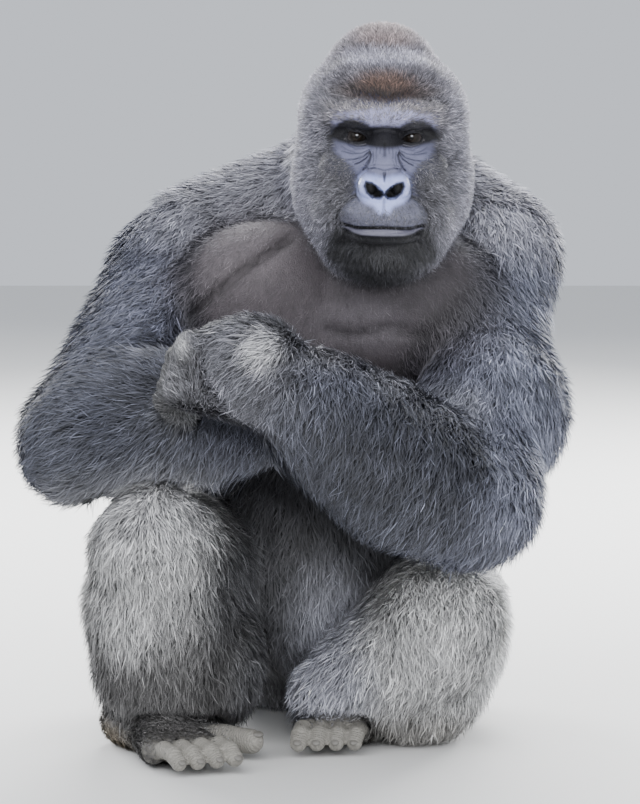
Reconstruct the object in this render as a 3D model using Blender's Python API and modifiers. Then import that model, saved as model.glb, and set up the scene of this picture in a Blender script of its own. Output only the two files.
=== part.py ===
"""A silverback gorilla that squats with its arms crossed on its knees, at life size, as a museum model.

Units are metres. +Z is up, -Y is the way the gorilla faces and +X is its left side. The origin is on the
floor, under the middle of its bounding box. The solids reach to the tips of the coat.

Each region is a group of overlapping masses, such as muscles, that a voxel remesh makes into one skin.
The regions are then cut back where they meet, and the limbs are parted at their joints by thin cuts.
"""

import math

import bmesh
import bpy
from mathutils import Euler, Matrix, Vector

# ---------------------------------------------------------------------------------------------------
# Driving dimensions
# ---------------------------------------------------------------------------------------------------
GAP = 0.0005  # clear space between neighbouring solids
SOLE = 0.0  # level of the floor
MIDDLE = Vector((0.0074, -0.0096, 0.0))  # middle of the bounding box, which becomes the origin

# Joints of the skeleton. _R is the gorilla's right side, which is at -X.
SHOULDER_R = Vector((-0.160, 0.090, 0.704))
ELBOW_R = Vector((-0.290, -0.170, 0.484))
WRIST_R = Vector((0.020, -0.175, 0.486))
SHOULDER_L = Vector((0.292, 0.060, 0.700))
ELBOW_L = Vector((0.260, -0.235, 0.397))
WRIST_L = Vector((-0.044, -0.350, 0.596))
HIP_R = Vector((-0.075, 0.185, 0.185))
KNEE_R = Vector((-0.192, -0.170, 0.305))
ANKLE_R = Vector((-0.188, -0.115, 0.110))
HIP_L = Vector((0.160, 0.170, 0.180))
KNEE_L = Vector((0.214, -0.130, 0.180))
ANKLE_L = Vector((0.052, -0.090, 0.082))

HEEL_R = Vector((-0.250, -0.095, 0.0))
TOES_R = Vector((-0.105, -0.318, 0.0))
HEEL_L = Vector((0.085, 0.060, 0.0))
TOES_L = Vector((0.050, -0.205, 0.0))

# Radii with the coat, along each limb from its upper joint (0) to its lower one (1).
UPPER_ARM = ((0.0, 0.110), (0.40, 0.109), (0.75, 0.105), (1.0, 0.110))
FOREARM_R = ((0.0, 0.110), (0.25, 0.116), (0.50, 0.100), (0.80, 0.068), (1.0, 0.056))
FOREARM_L = ((0.0, 0.110), (0.25, 0.124), (0.60, 0.118), (0.85, 0.098), (1.0, 0.084))
THIGH_R = ((0.0, 0.138), (0.45, 0.136), (0.80, 0.118), (1.0, 0.105))
SHANK_R = ((0.0, 0.106), (0.40, 0.121), (0.75, 0.116), (1.0, 0.104))
THIGH_L = ((0.0, 0.140), (0.45, 0.135), (0.80, 0.115), (1.0, 0.100))
SHANK_L = ((0.0, 0.102), (0.40, 0.098), (0.75, 0.086), (1.0, 0.074))

HEAD_AT = Vector((0.1345, -0.070, 0.890))  # middle of the head, between the ears
HEAD_ROLL = math.radians(1.0)  # the head leans a little to its own left
EYE_RADIUS = 0.0145
EYE_SPREAD = 0.0395  # from the middle of the face to each eye
EYE_AT = Vector((EYE_SPREAD, -0.1205, 0.0255))

# Triangles that each region keeps
BUDGET = {
    "trunk": 650,
    "head_neck": 1850,
    "arm": 500,
    "hand": 370,
    "leg": 400,
    "foot": 470,
    "ear": 80,
}


# ---------------------------------------------------------------------------------------------------
# Masses
# ---------------------------------------------------------------------------------------------------
def ball(mesh, centre, radii, turn=(0.0, 0.0, 0.0)):
    """Adds an ellipsoid. turn is in degrees about X, Y and Z."""
    angles = Euler([math.radians(a) for a in turn])
    place = Matrix.LocRotScale(Vector(centre), angles, Vector(radii))
    bmesh.ops.create_uvsphere(mesh, u_segments=24, v_segments=16, radius=1.0, matrix=place)


def bar(mesh, start, end, start_radius, end_radius):
    """Adds a tapered bar with round ends."""
    start, end = Vector(start), Vector(end)
    along = end - start
    turn = along.to_track_quat("Z", "Y")
    bmesh.ops.create_cone(
        mesh,
        cap_ends=True,
        segments=24,
        radius1=start_radius,
        radius2=end_radius,
        depth=along.length,
        matrix=Matrix.LocRotScale((start + end) / 2, turn, None),
    )
    ball(mesh, start, (start_radius,) * 3)
    ball(mesh, end, (end_radius,) * 3)


def limb(mesh, start, end, profile):
    """Adds a chain of bars from start to end. profile holds (share of the way, radius) pairs."""
    for (s0, r0), (s1, r1) in zip(profile, profile[1:]):
        bar(mesh, start.lerp(end, s0), start.lerp(end, s1), r0, r1)


def region(name, fill, voxel, budget, smooth=6):
    """Makes one closed surface from the masses that fill(mesh) adds, and returns its object."""
    mesh = bmesh.new()
    fill(mesh)
    data = bpy.data.meshes.new(name)
    mesh.to_mesh(data)
    mesh.free()
    obj = bpy.data.objects.new(name, data)
    REGIONS.objects.link(obj)
    remesh = obj.modifiers.new("union", "REMESH")
    remesh.mode = "VOXEL"
    remesh.voxel_size = voxel
    relax = obj.modifiers.new("relax", "SMOOTH")
    relax.factor = 0.5
    relax.iterations = smooth
    apply_modifiers(obj)
    count = sum(len(p.vertices) - 2 for p in obj.data.polygons)
    thin = obj.modifiers.new("thin", "DECIMATE")
    thin.ratio = min(1.0, budget / count)
    obj.modifiers.new("facets", "TRIANGULATE")
    apply_modifiers(obj)
    return obj


def apply_modifiers(obj):
    """Makes the object's mesh what its modifiers show."""
    graph = bpy.context.evaluated_depsgraph_get()
    graph.update()
    made = bpy.data.meshes.new_from_object(obj.evaluated_get(graph))
    obj.modifiers.clear()
    obj.data = made


# ---------------------------------------------------------------------------------------------------
# Cuts
# ---------------------------------------------------------------------------------------------------
def swollen(obj):
    """A copy that stands GAP proud all round, to cut its neighbours with."""
    copy = bpy.data.objects.new(obj.name + "_cutter", obj.data.copy())
    CUTTERS.objects.link(copy)
    copy.hide_render = True
    copy.display_type = "WIRE"
    mesh = bmesh.new()
    mesh.from_mesh(copy.data)
    mesh.normal_update()
    places = [vertex.co + vertex.normal * GAP for vertex in mesh.verts]
    for vertex, place in zip(mesh.verts, places):
        vertex.co = place
    mesh.to_mesh(copy.data)
    mesh.free()
    return copy


def box_of(obj):
    corners = [v.co for v in obj.data.vertices]
    low = [min(c[k] for c in corners) for k in range(3)]
    high = [max(c[k] for c in corners) for k in range(3)]
    return low, high


def apart(first, second):
    """True if the bounding boxes don't meet."""
    (low_a, high_a), (low_b, high_b) = box_of(first), box_of(second)
    return any(low_a[k] > high_b[k] or low_b[k] > high_a[k] for k in range(3))


def keep_largest(obj):
    """Drops the crumbs that a cut leaves beside the main body."""
    mesh = bmesh.new()
    mesh.from_mesh(obj.data)
    left = set(mesh.verts)
    bodies = []
    while left:
        todo = [left.pop()]
        body = set(todo)
        while todo:
            for edge in todo.pop().link_edges:
                for vertex in edge.verts:
                    if vertex in left:
                        left.remove(vertex)
                        body.add(vertex)
                        todo.append(vertex)
        bodies.append(body)
    bodies.sort(key=len)
    crumbs = [v for body in bodies[:-1] for v in body]
    bmesh.ops.delete(mesh, geom=crumbs, context="VERTS")
    mesh.to_mesh(obj.data)
    mesh.free()


def cut_by(obj, cutters):
    """Cuts the object back to GAP from each neighbour."""
    for cutter in cutters:
        if apart(obj, cutter):
            continue
        cut = obj.modifiers.new("cut", "BOOLEAN")
        cut.operation = "DIFFERENCE"
        cut.object = cutter
        apply_modifiers(obj)
    keep_largest(obj)


def halved(obj, name, point, normal):
    """Parts the object at a plane. The side that normal points to becomes a new object called name."""
    normal = Vector(normal).normalized()
    far = bpy.data.objects.new(name, obj.data.copy())
    REGIONS.objects.link(far)
    for side, sign in ((obj, -1.0), (far, 1.0)):
        plane_cut(side, Vector(point) + normal * sign * GAP / 2, normal * sign)
        keep_largest(side)
    return far


def plane_cut(obj, point, keep):
    """Removes what lies behind the plane, whose normal is keep, and closes the cut."""
    mesh = bmesh.new()
    mesh.from_mesh(obj.data)
    everything = mesh.verts[:] + mesh.edges[:] + mesh.faces[:]
    bmesh.ops.bisect_plane(
        mesh, geom=everything, plane_co=point, plane_no=keep, clear_inner=True, dist=1e-6
    )
    rim = [e for e in mesh.edges if e.is_boundary]
    bmesh.ops.triangle_fill(mesh, use_beauty=True, edges=rim, normal=-Vector(keep))
    bmesh.ops.recalc_face_normals(mesh, faces=mesh.faces[:])
    mesh.to_mesh(obj.data)
    mesh.free()


def between(joint, upper, lower):
    """Normal of the plane through a joint that halves its angle. It points to the lower side."""
    return (lower - joint).normalized() - (upper - joint).normalized()


# ---------------------------------------------------------------------------------------------------
# Regions
# ---------------------------------------------------------------------------------------------------
def fill_trunk(mesh):
    """Rump, belly, rib cage, breast and the slope of the shoulders. The chest turns to its own right."""
    ball(mesh, (0.035, 0.205, 0.175), (0.235, 0.190, 0.200))  # rump
    ball(mesh, (0.025, 0.070, 0.290), (0.195, 0.190, 0.230))  # belly
    ball(mesh, (0.045, 0.215, 0.310), (0.240, 0.200, 0.200))  # small of the back
    ball(mesh, (0.058, 0.175, 0.440), (0.262, 0.240, 0.260))  # waist
    ball(mesh, (0.072, 0.205, 0.575), (0.255, 0.210, 0.200))  # back
    ball(mesh, (0.070, 0.110, 0.620), (0.285, 0.205, 0.195))  # rib cage
    ball(mesh, (0.085, 0.200, 0.690), (0.232, 0.185, 0.172))  # upper back
    ball(mesh, (-0.025, -0.010, 0.660), (0.150, 0.098, 0.118), (0, 10, 12))  # breast
    ball(mesh, (0.165, -0.030, 0.650), (0.150, 0.098, 0.118), (0, -10, 12))
    bar(mesh, (0.060, 0.135, 0.828), (-0.110, 0.110, 0.750), 0.080, 0.092)  # trapezius
    bar(mesh, (0.200, 0.125, 0.828), (0.305, 0.080, 0.733), 0.076, 0.094)


def fill_arm_r(mesh):
    """The right arm. Its forearm crosses the breast, under the left one."""
    limb(mesh, SHOULDER_R, ELBOW_R, UPPER_ARM)
    limb(mesh, ELBOW_R, WRIST_R, FOREARM_R)
    ball(mesh, SHOULDER_R + Vector((-0.010, -0.010, -0.005)), (0.112, 0.112, 0.118))  # deltoid
    ball(mesh, (-0.205, -0.165, 0.512), (0.128, 0.105, 0.118))  # thick of the forearm
    ball(mesh, (-0.300, -0.160, 0.462), (0.106, 0.095, 0.106))  # elbow


def fill_arm_l(mesh):
    """The left arm. Its forearm lies in front, and its elbow on the left knee."""
    limb(mesh, SHOULDER_L, ELBOW_L, UPPER_ARM)
    limb(mesh, ELBOW_L, WRIST_L, FOREARM_L)
    ball(mesh, SHOULDER_L + Vector((0.008, -0.010, 0.006)), (0.112, 0.112, 0.116))  # deltoid
    ball(mesh, (0.304, -0.110, 0.510), (0.114, 0.112, 0.140))  # back of the upper arm
    ball(mesh, (0.160, -0.270, 0.448), (0.165, 0.108, 0.122), (0, 32, 0))  # thick of the forearm


def fill_leg_r(mesh):
    """The right leg. Its shank stands nearly upright."""
    limb(mesh, HIP_R, KNEE_R, THIGH_R)
    limb(mesh, KNEE_R, ANKLE_R, SHANK_R)
    ball(mesh, (-0.180, -0.110, 0.120), (0.124, 0.110, 0.092))  # coat over the ankle
    ball(mesh, (-0.190, -0.090, 0.215), (0.128, 0.125, 0.125))  # calf


def fill_leg_l(mesh):
    """The left leg. Its knee has fallen outward, so that the calf and the thigh lie on the floor."""
    limb(mesh, HIP_L, KNEE_L, THIGH_L)
    limb(mesh, KNEE_L, ANKLE_L, SHANK_L)
    ball(mesh, (0.180, -0.070, 0.110), (0.130, 0.110, 0.125))  # calf
    ball(mesh, (0.245, 0.030, 0.160), (0.092, 0.130, 0.138))  # outside of the thigh


def finger(mesh, knuckle, bends, lengths, radius):
    """Adds a finger or toe: from the knuckle, each bone goes along its direction in bends."""
    here = Vector(knuckle)
    for step, (way, length) in enumerate(zip(bends, lengths)):
        there = here + Vector(way).normalized() * length
        bar(mesh, here, there, radius * (1 - 0.07 * step), radius * (1 - 0.07 * (step + 1)))
        here = there


def fill_hand_l(mesh):
    """The left hand hangs over the right forearm, its back to the front and its fingers curled behind."""
    knuckles = Vector((-0.148, -0.330, 0.596))
    ball(mesh, WRIST_L + Vector((-0.012, 0.0, 0.004)), (0.084, 0.066, 0.080))
    for share in (0.0, 0.33, 0.67, 1.0):  # little finger at the bottom
        drop = Vector((0.010, -0.006, 0.030)).lerp(Vector((-0.008, 0.006, -0.032)), share)
        knuckle = knuckles + drop
        bar(mesh, WRIST_L + drop * 0.8, knuckle, 0.054, 0.032)
        bends = ((-0.45, 0.8, -0.35), (0.25, 0.9, -0.5), (0.8, 0.35, -0.4))
        finger(mesh, knuckle, bends, (0.052, 0.036, 0.026), 0.0185)
    thumb = WRIST_L + Vector((-0.030, 0.020, 0.045))
    finger(mesh, thumb, ((-0.8, 0.5, 0.1), (-0.6, 0.8, -0.2)), (0.045, 0.032), 0.0155)


def fill_hand_r(mesh):
    """The right hand lies under the left forearm, palm to the belly."""
    knuckles = WRIST_R + Vector((0.085, 0.010, -0.015))
    ball(mesh, WRIST_R, (0.056, 0.050, 0.056))
    for share in (0.0, 0.33, 0.67, 1.0):
        drop = Vector((0.0, 0.0, 0.036)).lerp(Vector((-0.010, 0.0, -0.036)), share)
        knuckle = knuckles + drop
        bar(mesh, WRIST_R + drop * 0.7, knuckle, 0.032, 0.025)
        bends = ((0.95, 0.20, -0.15), (0.70, 0.65, -0.20), (0.3, 0.9, -0.2))
        finger(mesh, knuckle, bends, (0.045, 0.032, 0.024), 0.0160)
    thumb = WRIST_R + Vector((0.030, 0.010, 0.040))
    finger(mesh, thumb, ((0.8, 0.2, 0.5), (0.9, 0.2, 0.1)), (0.040, 0.030), 0.0135)


def fill_foot(heel, toes, side):
    """A foot that is flat on the floor. side is -1 for the right foot and 1 for the left one."""
    heel, toes = Vector(heel), Vector(toes)
    ahead = (toes - heel).normalized()
    inward = Vector((-side, 0.0, 0.0))
    inward = (inward - ahead * inward.dot(ahead)).normalized()

    def fill(mesh):
        instep = heel.lerp(toes, 0.38) + inward * 0.010 + Vector((0, 0, 0.030))
        ball_of_foot = heel.lerp(toes, 0.68)
        bar(mesh, heel + Vector((0, 0, 0.034)), instep, 0.036, 0.040)
        for share in (0.0, 0.33, 0.67, 1.0):  # little toe outside
            across = inward * (0.024 - 0.060 * share)
            root = ball_of_foot + across + Vector((0, 0, 0.024)) - ahead * 0.018 * share
            bar(mesh, instep + across * 0.5, root, 0.034, 0.023)
            ways = (ahead * 1.0 + Vector((0, 0, 0.25)), ahead + Vector((0, 0, -0.25)))
            finger(mesh, root, ways, (0.042 - 0.006 * share, 0.036), 0.0165 - 0.0015 * share)
        root = heel.lerp(toes, 0.42) + inward * 0.030 + Vector((0, 0, 0.028))
        great = inward * 0.62 + ahead * 0.78
        bar(mesh, instep, root, 0.034, 0.028)
        finger(mesh, root, (great, inward * 0.45 + ahead * 0.85), (0.055, 0.045), 0.0225)

    return fill


def both(mesh, add, centre, *rest):
    """Adds a mass and its mirror image across the middle of the face."""
    for side in (-1, 1):
        add(mesh, Vector((centre[0] * side, centre[1], centre[2])), *rest)


def fill_head(mesh):
    """The head in its own frame, before HEAD_AT and HEAD_ROLL place it."""
    ball(mesh, (0, 0.025, 0.060), (0.112, 0.140, 0.125))  # brain case
    ball(mesh, (0, -0.052, 0.090), (0.092, 0.090, 0.052))  # pad of the forehead
    both(mesh, ball, (0.056, 0.000, 0.045), (0.062, 0.110, 0.090))  # temples
    both(mesh, ball, (0.070, -0.010, -0.045), (0.066, 0.105, 0.106))  # cheeks
    both(mesh, ball, (0.040, -0.045, -0.115), (0.063, 0.085, 0.076))  # jaw
    ball(mesh, (0, -0.060, -0.145), (0.070, 0.080, 0.055))  # beard
    bar(mesh, (-0.030, -0.141, 0.061), (0.030, -0.141, 0.061), 0.022, 0.022)  # brow
    both(mesh, brow_end, (0.030, -0.141, 0.061))
    ball(mesh, (0, -0.078, 0.010), (0.078, 0.052, 0.055))  # floor of the sockets
    both(mesh, ball, (0.050, -0.100, -0.020), (0.041, 0.040, 0.034))  # cheek bone
    bar(mesh, (0, -0.128, 0.030), (0, -0.164, -0.016), 0.018, 0.025)  # bridge of the nose
    both(mesh, ball, (0.022, -0.118, -0.010), (0.028, 0.034, 0.036))  # sides of the bridge
    both(mesh, ball, (0.0195, -0.178, -0.040), (0.019, 0.026, 0.022))  # wings of the nose
    ball(mesh, (0, -0.185, -0.038), (0.016, 0.019, 0.018))  # tip
    ball(mesh, (0, -0.125, -0.078), (0.063, 0.078, 0.052))  # muzzle
    ball(mesh, (0, -0.150, -0.079), (0.061, 0.055, 0.023))  # upper lip
    ball(mesh, (0, -0.146, -0.111), (0.055, 0.050, 0.015))  # lower lip
    ball(mesh, (0, -0.108, -0.138), (0.056, 0.062, 0.044))  # chin


def brow_end(mesh, inner):
    """The outer part of the brow, which falls back round the socket."""
    side = math.copysign(1.0, inner.x)
    bar(mesh, inner, inner + Vector((side * 0.035, 0.024, -0.003)), 0.022, 0.020)


def fill_neck(mesh):
    """The neck, in the frame of the head."""
    bar(mesh, (0.005, 0.060, 0.000), (-0.015, 0.200, -0.110), 0.124, 0.164)
    bar(mesh, (0.005, 0.000, -0.080), (-0.010, 0.100, -0.180), 0.100, 0.118)


def fill_ear(side):
    def fill(mesh):
        ball(mesh, (side * 0.120, 0.048, 0.006), (0.011, 0.019, 0.029), (0, 8 * side, -25 * side))

    return fill


def placed_head(obj):
    """Moves an object from the frame of the head to its place."""
    obj.data.transform(Matrix.LocRotScale(HEAD_AT, Euler((0, HEAD_ROLL, 0)), None))
    return obj


def eye(side):
    """An eyeball, in its place."""
    name = "eye_l" if side > 0 else "eye_r"
    mesh = bmesh.new()
    place = Matrix.Translation((EYE_AT.x * side, EYE_AT.y, EYE_AT.z))
    bmesh.ops.create_uvsphere(mesh, u_segments=10, v_segments=7, radius=EYE_RADIUS, matrix=place)
    data = bpy.data.meshes.new(name)
    mesh.to_mesh(data)
    mesh.free()
    obj = bpy.data.objects.new(name, data)
    REGIONS.objects.link(obj)
    return placed_head(obj)


# ---------------------------------------------------------------------------------------------------
# Materials
# ---------------------------------------------------------------------------------------------------
def material(name, colour, roughness):
    made = bpy.data.materials.new(name)
    made.use_nodes = True
    shader = made.node_tree.nodes["Principled BSDF"]
    shader.inputs["Base Color"].default_value = (*colour, 1.0)
    shader.inputs["Roughness"].default_value = roughness
    shader.inputs["Metallic"].default_value = 0.0
    return made


def dress(objects):
    """Gives each node the colour of its coat or skin."""
    finishes = {
        "dark_coat": (material("dark_coat", (0.065, 0.067, 0.080), 0.75), ("arm", "trunk", "neck")),
        "grey_coat": (material("grey_coat", (0.27, 0.27, 0.26), 0.75), ("thigh", "shank")),
        "head_coat": (material("head_coat", (0.13, 0.12, 0.12), 0.70), ("head",)),
        "bare_skin": (material("bare_skin", (0.10, 0.10, 0.11), 0.50), ("hand", "foot", "ear")),
        "eye": (material("eye", (0.06, 0.03, 0.02), 0.10), ("eye",)),
    }
    for obj in objects:
        obj.data.materials.clear()
        for made, words in finishes.values():
            if any(word in obj.name for word in words):
                obj.data.materials.append(made)
                break


# ---------------------------------------------------------------------------------------------------
# The whole
# ---------------------------------------------------------------------------------------------------
def build():
    trunk = region("trunk", fill_trunk, 0.012, BUDGET["trunk"], 24)
    foot_r = region("foot_r", fill_foot(HEEL_R, TOES_R, -1), 0.005, BUDGET["foot"], 3)
    foot_l = region("foot_l", fill_foot(HEEL_L, TOES_L, 1), 0.005, BUDGET["foot"], 3)
    thigh_r = region("thigh_r", fill_leg_r, 0.010, BUDGET["leg"], 12)
    thigh_l = region("thigh_l", fill_leg_l, 0.010, BUDGET["leg"], 12)
    hand_r = region("hand_r", fill_hand_r, 0.005, BUDGET["hand"], 3)
    upper_arm_r = region("upper_arm_r", fill_arm_r, 0.010, BUDGET["arm"], 12)
    hand_l = region("hand_l", fill_hand_l, 0.005, BUDGET["hand"], 3)
    upper_arm_l = region("upper_arm_l", fill_arm_l, 0.010, BUDGET["arm"], 12)
    ear_r = placed_head(region("ear_r", fill_ear(-1), 0.003, BUDGET["ear"], 2))
    ear_l = placed_head(region("ear_l", fill_ear(1), 0.003, BUDGET["ear"], 2))

    def head_and_neck(mesh):
        fill_head(mesh)
        fill_neck(mesh)

    head = placed_head(region("head", head_and_neck, 0.0045, BUDGET["head_neck"], 4))

    order = [trunk, foot_r, foot_l, thigh_r, thigh_l, hand_r, upper_arm_r, hand_l, upper_arm_l]
    order += [ear_r, ear_l, eye(-1), eye(1), head]
    cutters = [swollen(obj) for obj in order]
    for obj in order[:5]:
        plane_cut(obj, Vector((0, 0, SOLE)), Vector((0, 0, 1)))
    for place, obj in enumerate(order):
        cut_by(obj, cutters[:place])

    neck = halved(head, "neck", HEAD_AT + Vector((0, 0.085, -0.05)), (0, 0.88, -0.48))
    forearm_r = halved(upper_arm_r, "forearm_r", ELBOW_R, between(ELBOW_R, SHOULDER_R, WRIST_R))
    forearm_l = halved(upper_arm_l, "forearm_l", ELBOW_L, between(ELBOW_L, SHOULDER_L, WRIST_L))
    shank_r = halved(thigh_r, "shank_r", KNEE_R, between(KNEE_R, HIP_R, ANKLE_R))
    shank_l = halved(thigh_l, "shank_l", KNEE_L, between(KNEE_L, HIP_L, ANKLE_L))
    nodes = [*order, neck, forearm_r, forearm_l, shank_r, shank_l]
    for obj in nodes + cutters:
        obj.data.transform(Matrix.Translation(-MIDDLE))
    dress(nodes)


for old in list(bpy.data.objects):
    bpy.data.objects.remove(old)
REGIONS = bpy.data.collections.new("gorilla")
CUTTERS = bpy.data.collections.new("cutters")
for made in (REGIONS, CUTTERS):
    bpy.context.scene.collection.children.link(made)
build()
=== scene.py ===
"""The looks of a silverback gorilla that squats with its arms crossed on its knees, at life size.

Units are metres. +Z is up, -Y is the way the gorilla faces and +X is its left side. One skin stands for
all the nodes of flesh. It is worked out from overlapping masses that join softly, and lies under the solids'
surface by the depth of the coat. The coat is tufts of solid mesh that follow the lie of the hair.
"""

from __future__ import annotations

import logging
import math
from dataclasses import dataclass, field
from enum import Enum
from typing import Callable, Iterable, Sequence

import bmesh
import bpy
import numpy as np
from mathutils import Euler, Matrix, Vector


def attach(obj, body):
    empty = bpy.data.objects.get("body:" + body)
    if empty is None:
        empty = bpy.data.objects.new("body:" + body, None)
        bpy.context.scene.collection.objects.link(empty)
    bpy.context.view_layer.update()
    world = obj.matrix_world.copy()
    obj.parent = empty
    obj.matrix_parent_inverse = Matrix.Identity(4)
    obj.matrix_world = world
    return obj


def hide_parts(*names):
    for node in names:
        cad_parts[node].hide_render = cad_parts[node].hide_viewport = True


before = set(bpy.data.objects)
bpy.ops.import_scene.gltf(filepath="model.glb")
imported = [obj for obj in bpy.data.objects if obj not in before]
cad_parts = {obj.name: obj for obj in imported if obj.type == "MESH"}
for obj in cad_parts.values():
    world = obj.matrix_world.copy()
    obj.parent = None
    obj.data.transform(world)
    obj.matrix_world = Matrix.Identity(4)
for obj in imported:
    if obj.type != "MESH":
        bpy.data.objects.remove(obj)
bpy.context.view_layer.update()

LOG = logging.getLogger("gorilla")

Array = np.ndarray
BMesh = bmesh.types.BMesh
Piece = bpy.types.Object
Socket = bpy.types.NodeSocket
Triple = tuple[float, float, float]
Colour = Triple
Profile = tuple[tuple[float, float], ...]

ORIGIN = np.array([0.0074, -0.0096, 0.0])  # the frame's origin, in the numbers of the skeleton
BODY = "root"
SEED = 11
FAR = 1.0  # distance given to points that are well away from a group of masses
REACH = 0.09  # how far round a group of masses its distances are worked out
SOLE = 0.0  # level of the floor
HEAD_PLACE = 1  # place of the head in the list of regions


def vec(*numbers: float) -> Array:
    """Returns the numbers as an array."""
    return np.array(numbers, dtype=float)


def mm(*numbers: float) -> Array:
    """Returns the numbers, given in millimetres, as an array in metres."""
    return vec(*(round(number / 1000.0, 7) for number in numbers))


def unit(vectors: Array) -> Array:
    """Returns the vectors, along the last axis, with length one."""
    return vectors / np.maximum(np.linalg.norm(vectors, axis=-1, keepdims=True), 1e-9)


def dot(first: Array, second: Array) -> Array:
    """Returns the dot products of two arrays of vectors."""
    return np.einsum("ij,ij->i", first, second)


def smooth_step(values: Array, low: float, high: float) -> Array:
    """Returns 0 below low, 1 above high and a smooth rise between them."""
    share = np.clip((values - low) / (high - low), 0.0, 1.0)
    return share * share * (3.0 - 2.0 * share)


def soft_min(first: Array, second: Array, softness: Array | float) -> Array:
    """Joins two distances so that their surfaces run into each other.

    Args:
        first: Distances to one surface.
        second: Distances to the other.
        softness: Width of the fillet between them.

    Returns:
        Distances to the joined surface.
    """
    share = np.clip(0.5 + 0.5 * (second - first) / softness, 0.0, 1.0)
    return second * (1.0 - share) + first * share - softness * share * (1.0 - share)


def soft_max(first: Array, second: Array, softness: float) -> Array:
    """Cuts one surface by another with a rounded rim."""
    return -soft_min(-first, -second, softness)


def millimetres(*numbers: float) -> Profile:
    """Returns pairs of numbers in millimetres as pairs in metres."""
    metres = mm(*numbers).tolist()
    return tuple(zip(metres[::2], metres[1::2]))


def mixed_in(base: Array, colour: Colour, weight: Array) -> Array:
    """Returns colours with another one laid over them, as strongly as the weight says."""
    return base * (1.0 - weight) + vec(*colour) * weight


def pour(part: BMesh, whole: BMesh) -> None:
    """Adds a small bmesh to a large one, on which operators would be slow.

    Args:
        part: The small one, which is freed.
        whole: The large one.
    """
    data = bpy.data.meshes.new("part")
    part.to_mesh(data)
    part.free()
    whole.from_mesh(data)
    bpy.data.meshes.remove(data)


# ---------- Kinds of coat ----------
@dataclass(frozen=True)
class Pelt:
    """One kind of coat and the skin under it.

    depth is from the skin to the tips, length that of a tuft, width its breadth and spacing the way from
    root to root, which is zero where the skin is bare. hair and skin are colours, and dark is how much
    darker a tuft's root is than its tip.
    """

    depth: float
    length: float
    width: float
    spacing: float
    hair: Colour
    skin: Colour
    dark: float = 0.45

    def density(self) -> float:
        """Returns how many roots there are to a square metre."""
        return 1.0 / self.spacing**2 if self.spacing else 0.0

    def rise(self) -> float:
        """Returns how high the tips stand over the skin."""
        return max(self.depth, 0.22 * self.length)


class Coat(Enum):
    """The kinds of coat on the animal."""

    BACK = Pelt(0.028, 0.04, 0.0021, 0.0032, (0.13, 0.13, 0.15), (0.04, 0.04, 0.044))
    RUMP = Pelt(0.028, 0.04, 0.0021, 0.0034, (0.15, 0.15, 0.16), (0.045, 0.045, 0.045))
    NAPE = Pelt(0.018, 0.026, 0.0014, 0.0024, (0.21, 0.21, 0.25), (0.07, 0.07, 0.078))
    CHEST = Pelt(0.003, 0.007, 0.0005, 0.0033, (0.092, 0.081, 0.089), (0.084, 0.073, 0.081), 0.25)
    BELLY = Pelt(0.018, 0.032, 0.0017, 0.0034, (0.06, 0.06, 0.066), (0.022, 0.022, 0.024))
    UPPER_ARM = Pelt(0.028, 0.038, 0.0014, 0.0023, (0.088, 0.094, 0.129), (0.024, 0.026, 0.034), 0.68)
    FOREARM = Pelt(0.034, 0.042, 0.0014, 0.0023, (0.078, 0.082, 0.106), (0.018, 0.019, 0.025), 0.68)
    HAND = Pelt(0.012, 0.02, 0.0011, 0.0018, (0.112, 0.112, 0.126), (0.034, 0.034, 0.038), 0.68)
    FINGER = Pelt(0.003, 0.014, 0.0009, 0.0017, (0.088, 0.088, 0.09), (0.04, 0.04, 0.043), 0.6)
    LEG = Pelt(0.024, 0.03, 0.0014, 0.0024, (0.35, 0.35, 0.35), (0.1, 0.1, 0.1), 0.62)
    INSTEP = Pelt(0.005, 0.012, 0.0009, 0.0019, (0.1, 0.096, 0.094), (0.075, 0.071, 0.067))
    TOE = Pelt(0.001, 0.0, 0.001, 0.0, (0.1, 0.1, 0.1), (0.25, 0.24, 0.216))
    CROWN = Pelt(0.012, 0.016, 0.0009, 0.0016, (0.215, 0.2, 0.23), (0.052, 0.048, 0.054), 0.76)
    FOREHEAD = Pelt(0.008, 0.013, 0.0009, 0.0014, (0.11, 0.105, 0.125), (0.042, 0.04, 0.046), 0.76)
    CHEEK = Pelt(0.012, 0.017, 0.0009, 0.0015, (0.19, 0.188, 0.226), (0.048, 0.048, 0.055), 0.78)
    CHIN = Pelt(0.009, 0.014, 0.0009, 0.0016, (0.032, 0.032, 0.035), (0.012, 0.012, 0.013), 0.6)
    BROW = Pelt(0.002, 0.007, 0.0005, 0.0018, (0.19, 0.182, 0.2), (0.31, 0.314, 0.5), 0.4)
    FACE = Pelt(0.0004, 0.004, 0.0005, 0.0014, (0.088, 0.087, 0.102), (0.15, 0.155, 0.238), 0.3)
    EAR = Pelt(0.002, 0.007, 0.0008, 0.0022, (0.1, 0.1, 0.11), (0.05, 0.048, 0.05))


# ---------- Masses of flesh ----------
@dataclass
class Lie:
    """The way hair lies: along way, or away from the point source where that is given."""

    way: Array
    source: Array | None = None

    def at(self, points: Array) -> Array:
        """Returns the direction of the hair at each point, before it is laid on the skin."""
        way = unit(self.way) if self.source is None else unit(unit(points - self.source) + self.way)
        return np.broadcast_to(way, points.shape)


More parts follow.
